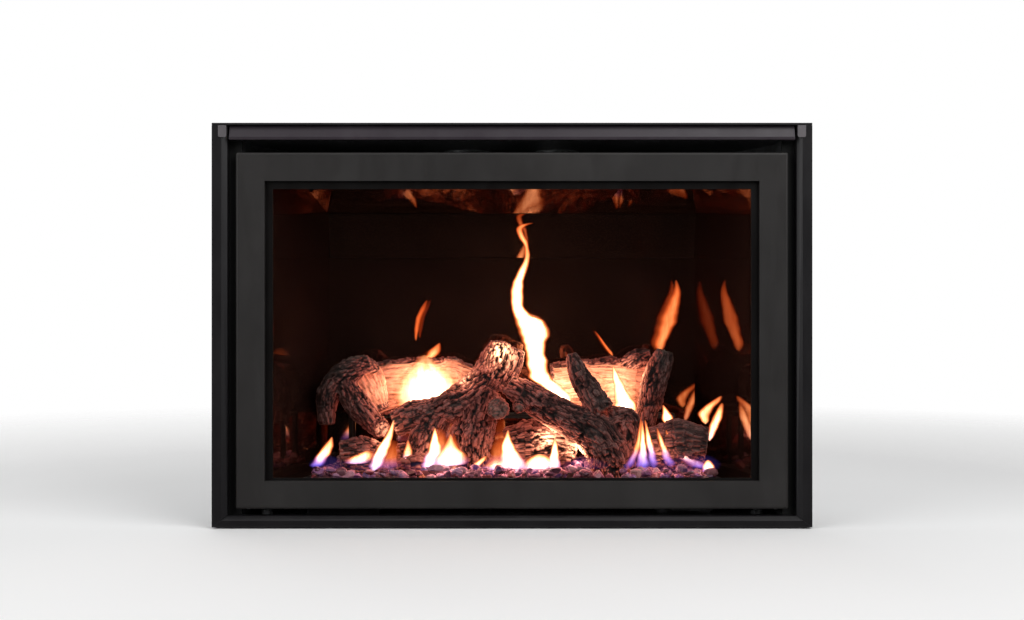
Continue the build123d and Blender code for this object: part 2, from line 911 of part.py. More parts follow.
def venturi_tube():
    """Mixing tube: it runs back from the jet into a square box that rises through the floor."""
    y0 = shutter_front + 2
    half = throat_half()
    outer = rod_y(y0, throat_y, venturi_x, venturi_z, venturi_r)
    outer += block(
        venturi_x - half, venturi_x + half, throat_y - half, throat_y + half,
        venturi_z - half, firebox_floor_top + 3,
    )
    bore = venturi_r - venturi_wall
    inside = half - venturi_wall
    tube = outer - rod_y(y0 - 1, throat_y, venturi_x, venturi_z, bore)
    tube -= block(
        venturi_x - inside, venturi_x + inside, throat_y - inside, throat_y + inside,
        venturi_z - inside, firebox_floor_top + 5,
    )
    window = block(-6, 6, y0 + 5, y0 + 13, venturi_r - 5, venturi_r + 5)
    for turn in (90, 270):
        tube -= Pos(venturi_x, 0, venturi_z) * (Rot(0, turn, 0) * window)
    return tube


def shutter_outer():
    """Outer radius of the air shutter's sleeve."""
    return venturi_r + running_gap + shutter_sheet


def air_shutter():
    """Air shutter: a windowed sleeve round the mixing tube, with a long flat lever to the front."""
    y0 = shutter_front
    outer = shutter_outer()
    shutter = rod_y(y0, y0 + shutter_length, 0, 0, outer)
    shutter -= rod_y(y0 - 1, y0 + shutter_length + 1, 0, 0, venturi_r + running_gap)
    window = block(-6.5, 6.5, y0 + 6, y0 + 16, venturi_r - 5, venturi_r + 6)
    for turn in (90, 270):
        shutter -= Rot(0, turn, 0) * window
    tip = air_box_front - lever_reach
    lever = block(-outer - lever_thick, -outer + 0.4, tip, y0 + 4, -lever_half, lever_half)
    lever += block(-outer - lever_thick, -outer + 0.4, tip - 8, tip, -5.5, 5.5)
    lever = Rot(0, -shutter_turn, 0) * lever
    return Pos(venturi_x, 0, venturi_z) * (shutter + lever)


save("burner_pan", burner_pan())
save("burner_air_box", burner_air_box())
save("venturi_tube", venturi_tube())
save("air_shutter", air_shutter())


# ---- Pilot ----
def pilot_hood():
    """Pilot burner: a bracket, a barrel and a slotted hood."""
    base = block(pilot_x - 18, pilot_x + 18, pilot_y - 8, pilot_y + 8, deck_top, deck_top + sheet)
    barrel = bar_z(deck_top + sheet, deck_top + 34, pilot_x, pilot_y, 5, 8)
    head = block(pilot_x - 7, pilot_x + 7, pilot_y - 14, pilot_y + 7, deck_top + 30, deck_top + 42)
    head -= block(pilot_x - 5, pilot_x + 5, pilot_y - 15, pilot_y + 5, deck_top + 34, deck_top + 40)
    return base + barrel + head


def pilot_probe(x, height):
    """Ceramic sleeve with a rod: the spark electrode or the flame sensor."""
    sleeve = bar_z(deck_top + sheet, deck_top + height - 12, x, pilot_y, 3, 8)
    return sleeve + bar_z(deck_top + height - 12, deck_top + height, x, pilot_y, 1.4, 6)


save("pilot_burner", pilot_hood(), pilot_probe(pilot_x - 12, 44), pilot_probe(pilot_x + 12, 48))


# ---- Log rack, logs and stones ----
def rear_log_y():
    """Depth of the rear logs' axis, just clear of the back liner."""
    return firebox_rear - liner - 13.0 - rear_log_r


def rack():
    """Rack for the rear logs: two rails, end bars and legs, welded from square bar."""
    half = rack_half * pan_front_half / bed_half_drawn
    bar = rack_bar / 2
    z0 = rack_top - rack_bar
    frame = Part()
    front_rail = rear_log_y() - rail_spread
    rear_rail = rear_log_y() + rail_spread
    for y in (front_rail, rear_rail):
        frame += block(-half, half, y - bar, y + bar, z0, rack_top)
        for x in (-half + bar, half - bar):
            frame += block(x - bar, x + bar, y - bar, y + bar, deck_top, rack_top)
    for x in (-half + bar, 0, half - bar):
        frame += block(x - bar, x + bar, front_rail, rear_rail, z0, rack_top)
    return frame


def place(x, y, z):
    """A point over the bed: x and y were set out on the full-size bed, and follow its size."""
    x_scale = pan_front_half / bed_half_drawn
    y_scale = (pan_back_y - pan_front_y) / bed_depth_drawn
    return Vector(x * x_scale, pan_front_y + (y - pan_front_y) * y_scale, deck_top + z)


def faceted(rings):
    """A closed solid with flat facets through rings of corners, all with as many corners."""
    faces = [Face(Wire.make_polygon(rings[0])), Face(Wire.make_polygon(rings[-1]))]
    sides = len(rings[0])
    for low, high in zip(rings, rings[1:]):
        for side in range(sides):
            after = (side + 1) % sides
            faces.append(Face(Wire.make_polygon([low[side], low[after], high[after]])))
            faces.append(Face(Wire.make_polygon([low[side], high[after], high[side]])))
    return Solid(Shell(faces))


def limb(points, radii, phase, sides=8):
    """One stretch of log: flat facets through uneven rings along a bent middle line."""
    rings = []
    last = len(points) - 1
    for index, (point, radius) in enumerate(zip(points, radii)):
        direction = (points[min(index + 1, last)] - points[max(index - 1, 0)]).normalized()
        across = (Vector(0, 1, 0) - direction * direction.Y).normalized()
        plane = Plane(origin=point, x_dir=across, z_dir=direction)
        corners = []
        for side in range(sides):
            turn = 2 * math.pi * side / sides
            swell = 1 + 0.09 * math.sin(2 * turn + phase + 1.3 * index)
            swell += 0.05 * math.sin(3 * turn + 2.1 * phase)
            reach = radius * swell
            corner = Vector(reach * math.cos(turn), reach * math.sin(turn), 0)
            corners.append(plane.from_local_coords(corner))
        rings.append(corners)
    return faceted(rings)


def trimmed(log, *others):
    """A log cut flat on the bed and notched where it lies on other logs."""
    log = Part() + log
    low = block(-trim_half, trim_half, 0, casing_depth, 0, deck_top)
    log -= low
    for other in others:
        log -= other
    return log.solids().sort_by(SortBy.VOLUME)[-1]


def build_logs():
    """The log set, from the back to the front."""
    logs = {}
    y_rear = rear_log_y()
    rail_seat = math.sqrt(rear_log_r ** 2 - rail_spread ** 2)
    z_rear = rack_top - deck_top + rail_seat - 3
    left = [place(x, 0, z_rear + rise) for x, rise in ((-276, 0), (-200, 2), (-130, 0), (-60, -4))]
    left = [Vector(point.X, y_rear, point.Z) for point in left]
    right = [place(x, 0, z_rear + rise) for x, rise in ((76, -2), (150, 0), (215, 1), (269, 0))]
    right = [Vector(point.X, y_rear, point.Z) for point in right]
    rails = rack()
    logs["log_rear_left"] = trimmed(limb(left, [40, 48, 48, 42], 0.4), rails)
    logs["log_rear_right"] = trimmed(limb(right, [44, 46, 44, 38], 1.9), rails)

    ember = limb([place(-6, 150, 42), place(40, 152, 46), place(90, 150, 40)], [36, 44, 36], 2.6)
    stub_left = limb([place(-288, 108, 34), place(-240, 110, 36), place(-188, 112, 34)], [32, 36, 33], 0.9)
    stub_mid = limb([place(-163, 112, 38), place(-137, 112, 40), place(-112, 112, 36)], [34, 37, 33], 3.3)
    stub_right = limb([place(216, 112, 38), place(270, 110, 42), place(323, 108, 36)], [38, 42, 36], 5.1)
    logs["log_ember"] = trimmed(ember)
    logs["log_front_stubs"] = [trimmed(stub_left), trimmed(stub_mid), trimmed(stub_right)]
    base = [logs["log_ember"]] + logs["log_front_stubs"]

    branch = Part() + limb(
        [place(-334, 172, -4), place(-318, 172, 84), place(-300, 172, 150), place(-272, 172, 176)],
        [22, 25, 26, 20], 1.1,
    )
    branch += limb(
        [place(-282, 172, 178), place(-258, 172, 140), place(-226, 172, 74), place(-200, 170, -4)],
        [20, 26, 24, 20], 2.2,
    )
    logs["log_branch_left"] = trimmed(branch, *base, logs["log_rear_left"])

    trunk = Part() + limb(
        [
            place(-72, 140, -4), place(-62, 140, 60), place(-46, 140, 130),
            place(-36, 140, 180), place(-20, 140, 226),
        ],
        [36, 33, 31, 28, 19], 4.0,
    )
    trunk += limb(
        [place(-208, 140, 78), place(-160, 140, 92), place(-110, 140, 116), place(-50, 140, 152)],
        [17, 21, 23, 25], 0.2,
    )
    trunk += limb([place(-30, 132, 108), place(-25, 112, 110), place(-23, 98, 110)], [21, 20, 18], 1.5)
    logs["log_fork_centre"] = trimmed(trunk, *base, logs["log_branch_left"])

    cross = Part() + limb(
        [
            place(-4, 112, 156), place(56, 112, 127), place(130, 112, 84),
            place(160, 112, 40), place(178, 112, -4),
        ],
        [20, 23, 27, 34, 38], 3.0,
    )
    cross += limb([place(128, 114, 88), place(116, 120, 140), place(98, 126, 198)], [17, 16, 13], 5.5)
    logs["log_cross_centre"] = trimmed(cross, *base, logs["log_fork_centre"], logs["log_rear_right"])

    upright_y = y_rear - upright_space
    upright = [place(x, 0, z) for x, z in ((212, -4), (226, 66), (244, 132), (266, 192))]
    upright = [Vector(point.X, upright_y, point.Z) for point in upright]
    upright = limb(upright, [22, 25, 26, 22], 4.4)
    logs["log_upright_right"] = trimmed(upright, *base, logs["log_cross_centre"], logs["log_rear_right"])
    return logs


def fire_stone(x, y, size, height, turn):
    """One glass stone: flat facets through three uneven rings, flat underneath."""
    rings = []
    for level, share in ((0.0, 0.62), (0.45, 1.0), (1.0, 0.55)):
        corners = []
        for side in range(5):
            angle = turn + 2 * math.pi * side / 5 + 0.25 * math.sin(3 * side + turn)
            reach = size / 2 * share * (0.88 + 0.12 * math.sin(5 * side + 7 * turn))
            across, back = reach * math.cos(angle), reach * math.sin(angle)
            corners.append(Vector(x + across, y + back, deck_top + height * level))
        rings.append(corners)
    return faceted(rings)


def fire_stones(standing):
    """Stones in uneven rows on the bed, left out wherever a log, the rack or the pilot stands."""
    stands = []
    for piece in standing:
        foot = Part() + piece
        foot &= block(-trim_half, trim_half, 0, casing_depth, deck_top, deck_top + stone_height + 4)
        stands += [solid.bounding_box() for solid in foot.solids()]
    stones = []
    pitch = stone_pitch
    for row in range(stone_rows):
        y = pan_front_y + 14 + pitch * row
        half = bed_half(y) - 14
        count = int(2 * half / pitch)
        for index in range(count + 1):
            key = 100 * row + index
            x = -half + 2 * half * index / count + (2.0 if row % 2 else -2.0)
            size = stone_size * (0.82 + 0.18 * scatter(key, 1))
            sx = x + 1.5 * (scatter(key, 2) - 0.5)
            sy = y + 1.5 * (scatter(key, 3) - 0.5)
            reach = size / 2 + 1
            blocked = False
            for stand in stands:
                inside_x = stand.min.X - reach < sx < stand.max.X + reach
                inside_y = stand.min.Y - reach < sy < stand.max.Y + reach
                blocked = blocked or (inside_x and inside_y)
            if not blocked:
                height = stone_height * (0.75 + 0.25 * scatter(key, 4))
                stones.append(fire_stone(sx, sy, size, height, 6.28 * scatter(key, 5)))
    return stones


log_set = build_logs()
all_logs = []
for log_name, log in log_set.items():
    pieces = log if isinstance(log, list) else [log]
    all_logs += pieces
    save(log_name, *pieces)
save("fire_stones", *fire_stones(all_logs + [rack(), pilot_hood()]))
save("log_rack", rack())


# ---- Flue and intake ----
def flue_duct():
    """Exhaust pipe from the firebox top through the casing, with a welded base flange."""
    low = firebox_top_z + sheet
    edge = flue_r + flue_flange
    duct = block(flue_x - edge, flue_x + edge, flue_y - edge, flue_y + edge, low, low + sheet)
    duct += rod_z(low, flue_top_z, flue_x, flue_y, flue_r)
    return duct - rod_z(low - 1, flue_top_z + 1, flue_x, flue_y, flue_r - flue_wall)


def intake_duct():
    """Air duct: from its collar on top, down behind the firebox and under it to the air box."""
    wall = box_sheet
    front_leg = duct_leg_front
    rear = duct_rear
    top = casing_top_z - sheet - 4.5
    low = air_box_low
    throat = flue_y - flue_r - 7
    under = firebox_floor_z - 2.5
    over = firebox_top_z + sheet + 6.5
    outer = [
        (throat, over), (throat, top), (rear, top), (rear, low),
        (air_box_rear, low), (air_box_rear, under), (front_leg, under), (front_leg, over),
    ]
    inner = [
        (throat + wall, over + wall), (throat + wall, top - wall),
        (rear - wall, top - wall), (rear - wall, low + wall),
        (air_box_rear - 2, low + wall), (air_box_rear - 2, under - wall),
        (front_leg + wall, under - wall), (front_leg + wall, over + wall),
    ]
    duct = side_prism(outer, duct_left, duct_right)
    duct += rod_z(top, flue_top_z, -flue_x, flue_y, flue_r)
    duct -= side_prism(inner, duct_left + wall, duct_right - wall)
    return duct - rod_z(top - wall - 1, flue_top_z + 1, -flue_x, flue_y, flue_r - flue_wall)


save("flue_duct", flue_duct())
save("intake_duct", intake_duct())


# ---- Blower ----
def wheel_blade():
    """One forward-bent blade in section, near the rim."""
    inner = wheel_r - 7
    outer = wheel_r - 0.6
    front = []
    back = []
    for reach, turn in ((inner, 0), ((inner + outer) / 2, 4), (outer, 16)):
        start = math.radians(turn)
        end = math.radians(turn) + blade_sheet / reach
        front.append((reach * math.cos(start), reach * math.sin(start)))
        back.append((reach * math.cos(end), reach * math.sin(end)))
    return make_face(Polyline(*front, *back[::-1], close=True))


def blower_wheel():
    """Cross-flow wheel: curved blades between three discs, on a through shaft."""
    blade = wheel_blade()
    start = wheel_x - wheel_length / 2
    section = Plane.YZ.offset(start) * Pos(blower_y, wheel_z)
    wheel = rod_x(housing_left - 2, housing_right + 40, blower_y, wheel_z, wheel_shaft_r)
    for x in (start, wheel_x - 1, start + wheel_length - 2):
        wheel += bar_x(x, x + 2, blower_y, wheel_z, wheel_r, 24)
    blades = []
    for index in range(wheel_blades):
        turned = section * Rot(0, 0, 360 * index / wheel_blades) * blade
        blades.append(extrude(turned, wheel_length))
    return wheel.fuse(*blades)


def blower_housing():
    """Blower housing: a scroll sheet round the wheel, two end plates and feet."""
    near = blower_near
    far = near + housing_sheet
    top = wheel_z + near + 6
    scroll = rod_x(housing_left, housing_right, blower_y, wheel_z, far)
    scroll -= rod_x(housing_left - 1, housing_right + 1, blower_y, wheel_z, near)
    mouth = [
        (blower_y - 40, wheel_z - 12), (blower_y - 12, wheel_z - 12), (blower_y, wheel_z),
        (blower_y, wheel_z + 40), (blower_y - 40, wheel_z + 40),
    ]
    scroll -= side_prism(mouth, housing_left - 1, housing_right + 1)
    scroll -= block(housing_left - 1, housing_right + 1, blower_y - 1, blower_y + 40, wheel_z, wheel_z + 40)
    housing = Part() + scroll
    rear = blower_y + near - 0.1
    housing += block(housing_left, housing_right, rear, rear + housing_sheet, wheel_z - 2, top)
    lip = blower_y - near + 2
    housing += block(housing_left, housing_right, lip, lip + housing_sheet, wheel_z + near - 5, top)
    y0, y1 = blower_y - near, blower_y + near
    for x in (housing_left, housing_right - housing_sheet):
        housing += block(x, x + housing_sheet, y0, y1, floor_top, top)
        housing += block(x - 5, x + 5 + housing_sheet, y0, y1, floor_top, floor_top + sheet)
    housing -= rod_x(housing_left - 1, housing_right + 1, blower_y, wheel_z, wheel_shaft_r + running_gap)
    return housing


def blower_motor():
    """Shaded-pole motor on the end of the housing, with its laminated frame."""
    start = housing_right
    body = bar_x(start, start + 9, blower_y, wheel_z, 17, 12)
    body += block(start + 9, start + 29, blower_y - 22, blower_y + 22, wheel_z - 22, wheel_z + 18)
    body += bar_x(start + 29, start + 44, blower_y, wheel_z, 17, 12)
    body = body - rod_x(start - 1, start + 41, blower_y, wheel_z, wheel_shaft_r + running_gap)
    return body


save("blower_wheel", blower_wheel())
save("blower_housing", blower_housing())
save("blower_motor", blower_motor())


# ---- Gas train ----
def gas_valve():
    """Gas control valve: cast body, regulator tower, coil and two shaft bosses."""
    body = block(valve_x - valve_half, valve_x + valve_half, valve_front + 6, valve_rear, floor_top + 4, 50)
    body = chamfer(body.edges().filter_by(Axis.Y), 5)
    body += bar_z(45, 57, valve_x + 22, valve_rear - 24, 14, 8)
    body += bar_y(valve_front + 2, valve_rear - 30, valve_x, knob_z + 8, 9, 8)
    for x in (main_knob_x, flame_knob_x):
        body += bar_y(valve_front, valve_front + 8, x, knob_z, 10, 6)
    for x in (valve_x - 36, valve_x + 36):
        body += block(x - 8, x + 8, valve_front + 14, valve_rear - 8, floor_top, floor_top + 6)
    for x in (main_knob_x, flame_knob_x):
        body -= rod_y(valve_front - 1, valve_front + 16, x, knob_z, knob_shaft_r + running_gap)
    return body


def fluted(radius, grips):
    """Outline of a knob's grip: lobes with a shallow flute between each two."""
    points = []
    for index in range(grips):
        for share, reach in ((0.0, radius - 1.8), (0.25, radius), (0.75, radius)):
            turn = 2 * math.pi * (index + share) / grips
            points.append((reach * math.cos(turn), reach * math.sin(turn)))
    return make_face(Polyline(*points, close=True))


def valve_knob(x, radius, grips):
    """Knob with a fluted grip, a skirt, a raised pointer and its shaft."""
    y1 = valve_front - knob_gap
    grip = Plane.XZ.offset(4 - y1) * Pos(x, knob_z) * fluted(radius, grips)
    knob = extrude(grip, 14)
    knob += bar_y(y1 - 4, y1, x, knob_z, radius + 2, 20)
    knob += block(x - 1, x + 1, y1 - 19, y1 - 18, knob_z, knob_z + radius - 3)
    return knob + rod_y(y1, valve_front + 15, x, knob_z, knob_shaft_r)


def gas_inlet():
    """Brass inlet coupling that stands out of the casing side, with a hexagon."""
    y, z = gas_inlet_y, gas_inlet_z
    start = casing_half - sheet - 10
    end = casing_half + 12
    coupling = rod_x(start, casing_half + 0.4, y, z, gas_inlet_r)
    coupling += bar_x(casing_half + 0.4, end, y, z, gas_inlet_r + 3, 6)
    return coupling - rod_x(end - gas_bore_length, end + 1, y, z, gas_bore_r)


def gas_pipes():
    """Inlet pipe, manifold with its jet, and the thin pilot pipe."""
    right = valve_x + valve_half
    left = valve_x - valve_half
    feed = bar_x(right, casing_half - sheet - 10, gas_inlet_y, gas_inlet_z, 6, 8)
    feed += bar_x(right, right + 8, gas_inlet_y, gas_inlet_z, 10, 6)
    manifold = bar_x(venturi_x, left, manifold_y, venturi_z, manifold_r, 8)
    manifold += bar_x(left - 10, left, manifold_y, venturi_z, manifold_r + 3.5, 6)
    holder = manifold_r + 1.5
    manifold += block(
        venturi_x - holder, venturi_x + holder, manifold_y - holder, manifold_y + holder,
        venturi_z - holder, venturi_z + holder,
    )
    manifold += bar_y(manifold_y + holder, shutter_front - 2, venturi_x, venturi_z, 4.5, 6)
    elbow = pilot_pipe_r + 2.0
    pilot = bar_y(valve_rear, pilot_y, pilot_x, pilot_pipe_z, pilot_pipe_r, 8)
    pilot += block(
        pilot_x - elbow, pilot_x + elbow, pilot_y - elbow, pilot_y + elbow,
        pilot_pipe_z - elbow, pilot_pipe_z + elbow,
    )
    pilot += bar_z(pilot_pipe_z, deck_top, pilot_x, pilot_y, pilot_pipe_r, 8)
    return feed, manifold, pilot


save("gas_valve", gas_valve())
save("valve_knob", valve_knob(main_knob_x, main_knob_r, 8))
save("flame_knob", valve_knob(flame_knob_x, flame_knob_r, 7))
save("gas_pipes", gas_inlet(), *gas_pipes())


# ---- Electrical pieces ----
def receiver_box():
    """Control box with vents on top and a slot for its slide switch."""
    rear = receiver_front + receiver_depth
    box = block(receiver_left, receiver_right, receiver_front, rear, floor_top, receiver_top)
    box = fillet(box.edges().filter_by(Axis.Z), 4)
    for index in range(4):
        x = receiver_left + 24 + 20 * index
        box -= block(x, x + 5, receiver_front + 14, receiver_front + 50, receiver_top - 2, receiver_top + 1)
    box -= block(
        slider_x - slider_half - slider_gap, slider_x + slider_half + slider_travel + slider_gap,
        receiver_front - 1, receiver_front + 3, slider_low - slider_gap, slider_high + slider_gap,
    )
    return box


def receiver_switch():
    """Slide switch button with a ribbed grip."""
    front = receiver_front - 3
    rear = receiver_front + 3 - slider_gap
    slider = block(slider_x - slider_half, slider_x + slider_half, front, rear, slider_low, slider_high)
    for index in range(3):
        x = slider_x - 2.6 + 2.2 * index
        slider -= block(x, x + 0.8, front - 1, front + 0.8, slider_low - 1, slider_high + 1)
    return slider


def power_inlet():
    """Appliance inlet in the left side: a flange, a shell and three blades."""
    x = -casing_half
    half = power_body_half - 0.4
    rise = power_body_rise - 0.4
    body = block(x - 1.5, x, power_y - 20, power_y + 20, power_z - 13, power_z + 13)
    body += block(x, x + 20, power_y - half, power_y + half, power_z - rise, power_z + rise)
    body -= block(
        x - 2, x + 15, power_y - half + 2, power_y + half - 2,
        power_z - rise + 2, power_z + rise - 2,
    )
    for y, z in ((power_y - 7, power_z - 2), (power_y + 7, power_z - 2), (power_y, power_z + 3)):
        body += block(x + 1, x + 16, y - 1, y + 1, z - 2, z + 2)
    return body


save("receiver_box", receiver_box())
save("receiver_switch", receiver_switch())
save("power_inlet", power_inlet())


# ---- Hinge brackets and door catches ----
def hinge_bracket():
    """Right hinge bracket: a nosed arm with the pin hole, and a foot on the firebox front."""
    x0 = frame_half + pivot_reach + 2.0
    x1 = x0 + hinge_ear
    low = hinge_z - hinge_nose_r
    nose = []
    for step in range(9):
        turn = math.radians(-90 - 22.5 * step)
        nose.append((hinge_set + hinge_nose_r * math.cos(turn), hinge_z + hinge_nose_r * math.sin(turn)))
    high = hinge_z + 44
    edge = front_plate - 6
    outline = nose + [(edge, hinge_z + hinge_nose_r + 4), (edge, high)]
    outline += [(front_plate, high), (front_plate, low)]
    arm = side_prism(outline, x0, x1)
    foot = block(frame_half + 3, x1, front_plate - 2, front_plate, firebox_floor_z - 2, high)
    bracket = arm + foot
    return bracket - rod_x(x0 - 1, x1 + 1, hinge_set, hinge_z, hinge_pin_r + running_gap)


def door_catch():
    """Right magnetic catch: a magnet block on a bracket, which holds the door's upper edge."""
    x = sight_half
    z = frame_top + 6
    magnet = block(x - 12, x + 12, door_set + door_sheet + 0.3, front_plate - 6, z, z + 12)
    bracket = block(x - 16, x + 16, front_plate - 6, front_plate, z - 3, z + 15)
    return magnet, bracket


right_catch = door_catch()
right_side = [hinge_bracket(), *right_catch]
save("door_hardware", *right_side, *[mirrored(piece) for piece in right_side])
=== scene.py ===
"""A direct-vent gas fireplace insert: finishes, log set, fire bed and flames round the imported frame."""

import json
import math
import random

import bmesh
import bpy
import numpy as np
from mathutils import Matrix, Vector, noise
from mathutils.bvhtree import BVHTree


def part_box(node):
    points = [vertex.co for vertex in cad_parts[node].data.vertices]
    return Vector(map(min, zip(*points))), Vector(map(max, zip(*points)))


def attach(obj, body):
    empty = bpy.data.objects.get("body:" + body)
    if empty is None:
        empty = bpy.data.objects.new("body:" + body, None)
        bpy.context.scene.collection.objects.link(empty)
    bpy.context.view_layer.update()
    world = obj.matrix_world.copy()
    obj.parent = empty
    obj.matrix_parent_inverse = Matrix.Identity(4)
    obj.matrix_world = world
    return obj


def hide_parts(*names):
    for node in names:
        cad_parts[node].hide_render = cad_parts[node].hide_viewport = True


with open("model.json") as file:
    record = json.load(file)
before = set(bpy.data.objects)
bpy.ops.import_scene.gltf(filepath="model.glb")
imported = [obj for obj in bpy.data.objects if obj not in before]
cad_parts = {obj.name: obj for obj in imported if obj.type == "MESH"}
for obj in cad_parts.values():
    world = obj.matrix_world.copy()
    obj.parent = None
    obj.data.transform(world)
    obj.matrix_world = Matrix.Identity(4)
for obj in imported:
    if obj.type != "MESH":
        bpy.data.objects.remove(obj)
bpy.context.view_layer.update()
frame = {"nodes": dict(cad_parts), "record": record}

MM = 0.001
scene = bpy.context.scene
NOISE_SEED = 5
noise.seed_set(NOISE_SEED)      # without it, noise_vector differs from run to run

# ---------------------------------------------------------------- the photograph's view

IMAGE_WIDTH = 1024
IMAGE_HEIGHT = 620
FRONT_DISTANCE = 2.6            # from the lens to the trim's front plane
PIXEL_AT_FRONT = 1.606 * MM     # what one pixel covers on that plane
HORIZON_ROW = 284               # the row that the lens looks at level
MIDDLE_COLUMN = 512
TRIM_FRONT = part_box("trim_left")[0][1]
EYE_HEIGHT = 0.3935


def add_camera():
    """The photograph's camera: level, straight on, shifted down a little to frame the trim."""
    data = bpy.data.cameras.new("photo_camera")
    data.sensor_width = 36.0
    data.lens = data.sensor_width * FRONT_DISTANCE / (PIXEL_AT_FRONT * IMAGE_WIDTH)
    data.shift_y = (HORIZON_ROW - IMAGE_HEIGHT / 2) / IMAGE_WIDTH
    data.clip_end = 200.0
    camera = bpy.data.objects.new("photo_camera", data)
    camera.location = (0.0, TRIM_FRONT - FRONT_DISTANCE, EYE_HEIGHT)
    camera.rotation_euler = (math.radians(90), 0, 0)
    scene.collection.objects.link(camera)
    scene.camera = camera


def seen_at(column, row, depth):
    """The point that the photograph shows at that pixel, depth behind the trim's front plane."""
    pixel = PIXEL_AT_FRONT * (1 + depth / FRONT_DISTANCE)
    return Vector((
        (column - MIDDLE_COLUMN) * pixel,
        TRIM_FRONT + depth,
        EYE_HEIGHT - (row - HORIZON_ROW) * pixel,
    ))


# ---------------------------------------------------------------- materials

SHADE_BLACK_TO = 36.0 * MM          # the casing's front edge is black this far behind the trim's front, as painted shade of the recess behind the trim
SHADE_BLACK_FADE = 0.5 * MM


class Finish:
    """A material being built: its Principled node, and short calls for the nodes that feed it."""

    def __init__(self, name, colour, rough, metal=0.0, specular=0.5):
        self.material = bpy.data.materials.new(name)
        self.material.use_nodes = True
        self.tree = self.material.node_tree
        self.shader = self.tree.nodes["Principled BSDF"]
        self.set("Base Color", (*colour, 1.0))
        self.set("Roughness", rough)
        self.set("Metallic", metal)
        self.set("Specular IOR Level", specular)
        self.place = self.add("ShaderNodeTexCoord").outputs["Object"]

    def add(self, kind, **settings):
        node = self.tree.nodes.new(kind)
        for key, value in settings.items():
            setattr(node, key, value)
        return node

    def set(self, name, value):
        """A fixed value, or another node's socket."""
        self.feed(self.shader.inputs[name], value)

    def feed(self, socket, value):
        if isinstance(value, bpy.types.NodeSocket):
            self.tree.links.new(value, socket)
        else:
            socket.default_value = value

    def texture(self, kind, scale, stretch):
        """A texture node at the place on the object, whose axes stretch scales."""
        node, place = self.add(kind), self.place
        if stretch:
            mapping = self.add("ShaderNodeMapping")
            self.feed(mapping.inputs["Vector"], place)
            mapping.inputs["Scale"].default_value = stretch
            place = mapping.outputs["Vector"]
        self.feed(node.inputs["Vector"], place)
        node.inputs["Scale"].default_value = scale
        return node

    def noise(self, scale, detail=4.0, stretch=None, rough=0.55, bend=0.0):
        node = self.texture("ShaderNodeTexNoise", scale, stretch)
        for name, number in (("Detail", detail), ("Roughness", rough), ("Distortion", bend)):
            node.inputs[name].default_value = number
        return node.outputs["Fac"]

    def cells(self, scale, stretch=None, output="Distance"):
        return self.texture("ShaderNodeTexVoronoi", scale, stretch).outputs[output]

    def attribute(self, name):
        return self.add("ShaderNodeAttribute", attribute_name=name).outputs["Fac"]

    def ramp(self, value, *stops):
        """A colour ramp through (place, colour) stops."""
        node = self.add("ShaderNodeValToRGB")
        elements = node.color_ramp.elements
        for element, (place, colour) in zip(elements, (stops[0], stops[-1])):
            element.position = place
            element.color = (*colour, 1.0)
        for place, colour in stops[1:-1]:
            elements.new(place).color = (*colour, 1.0)
        self.feed(node.inputs["Fac"], value)
        return node.outputs["Color"]

    def span(self, value, low, high, new_low=0.0, new_high=1.0):
        """value from low..high mapped to new_low..new_high and held there."""
        node = self.add("ShaderNodeMapRange")
        ends = {"From Min": low, "From Max": high, "To Min": new_low, "To Max": new_high}
        for name, number in ends.items():
            node.inputs[name].default_value = number
        self.feed(node.inputs["Value"], value)
        return node.outputs["Result"]

    def combine(self, kind, first, second, clamp=False):
        """The two values put through one operation."""
        node = self.add("ShaderNodeMath", operation=kind, use_clamp=clamp)
        self.feed(node.inputs[0], first)
        self.feed(node.inputs[1], second)
        return node.outputs["Value"]

    def times(self, first, second):
        return self.combine("MULTIPLY", first, second)

    def weighed(self, first, share, second, other):
        """The two values added up, each times its share."""
        return self.combine("ADD", self.times(first, share), self.times(second, other))

    def mix(self, share, first, second, kind="MIX"):
        """first where share is 0, second where it is 1; both are colours."""
        node = self.add("ShaderNodeMix", data_type="RGBA", blend_type=kind)
        self.feed(node.inputs[0], share)
        for socket, value in ((node.inputs[6], first), (node.inputs[7], second)):
            self.feed(socket, (*value, 1.0) if isinstance(value, tuple) else value)
        return node.outputs[2]

    def bump(self, height, distance, strength):
        """Small relief, distance in metres."""
        node = self.add("ShaderNodeBump")
        node.inputs["Distance"].default_value = distance
        node.inputs["Strength"].default_value = strength
        self.feed(node.inputs["Height"], height)
        self.set("Normal", node.outputs["Normal"])


def painted(name, colour, rough, specular=0.5, grain=0.00008):
    """Baked paint on steel: a fine orange peel, faint handling marks and a little uneven colour."""
    finish = Finish(name, colour, rough, specular=specular)
    lighter = tuple(min(1.0, c * 1.28 + 0.002) for c in colour)
    darker = tuple(c * 0.78 for c in colour)
    cloud = finish.noise(5.5, 5.0, rough=0.6)
    speck = finish.noise(900.0, 2.0)
    tone = finish.ramp(cloud, (0.3, darker), (0.55, colour), (0.75, lighter))
    finish.set("Base Color", finish.mix(finish.span(speck, 0.3, 0.7, 0.0, 0.22), tone, lighter))
    marks = finish.noise(38.0, 6.0, stretch=(1.0, 1.0, 0.25), bend=0.6)
    finish.set("Roughness", finish.span(marks, 0.32, 0.7, rough - 0.07, rough + 0.09))
    peel = finish.noise(1100.0, 3.0)
    finish.bump(peel, grain, 0.55)
    return finish.material


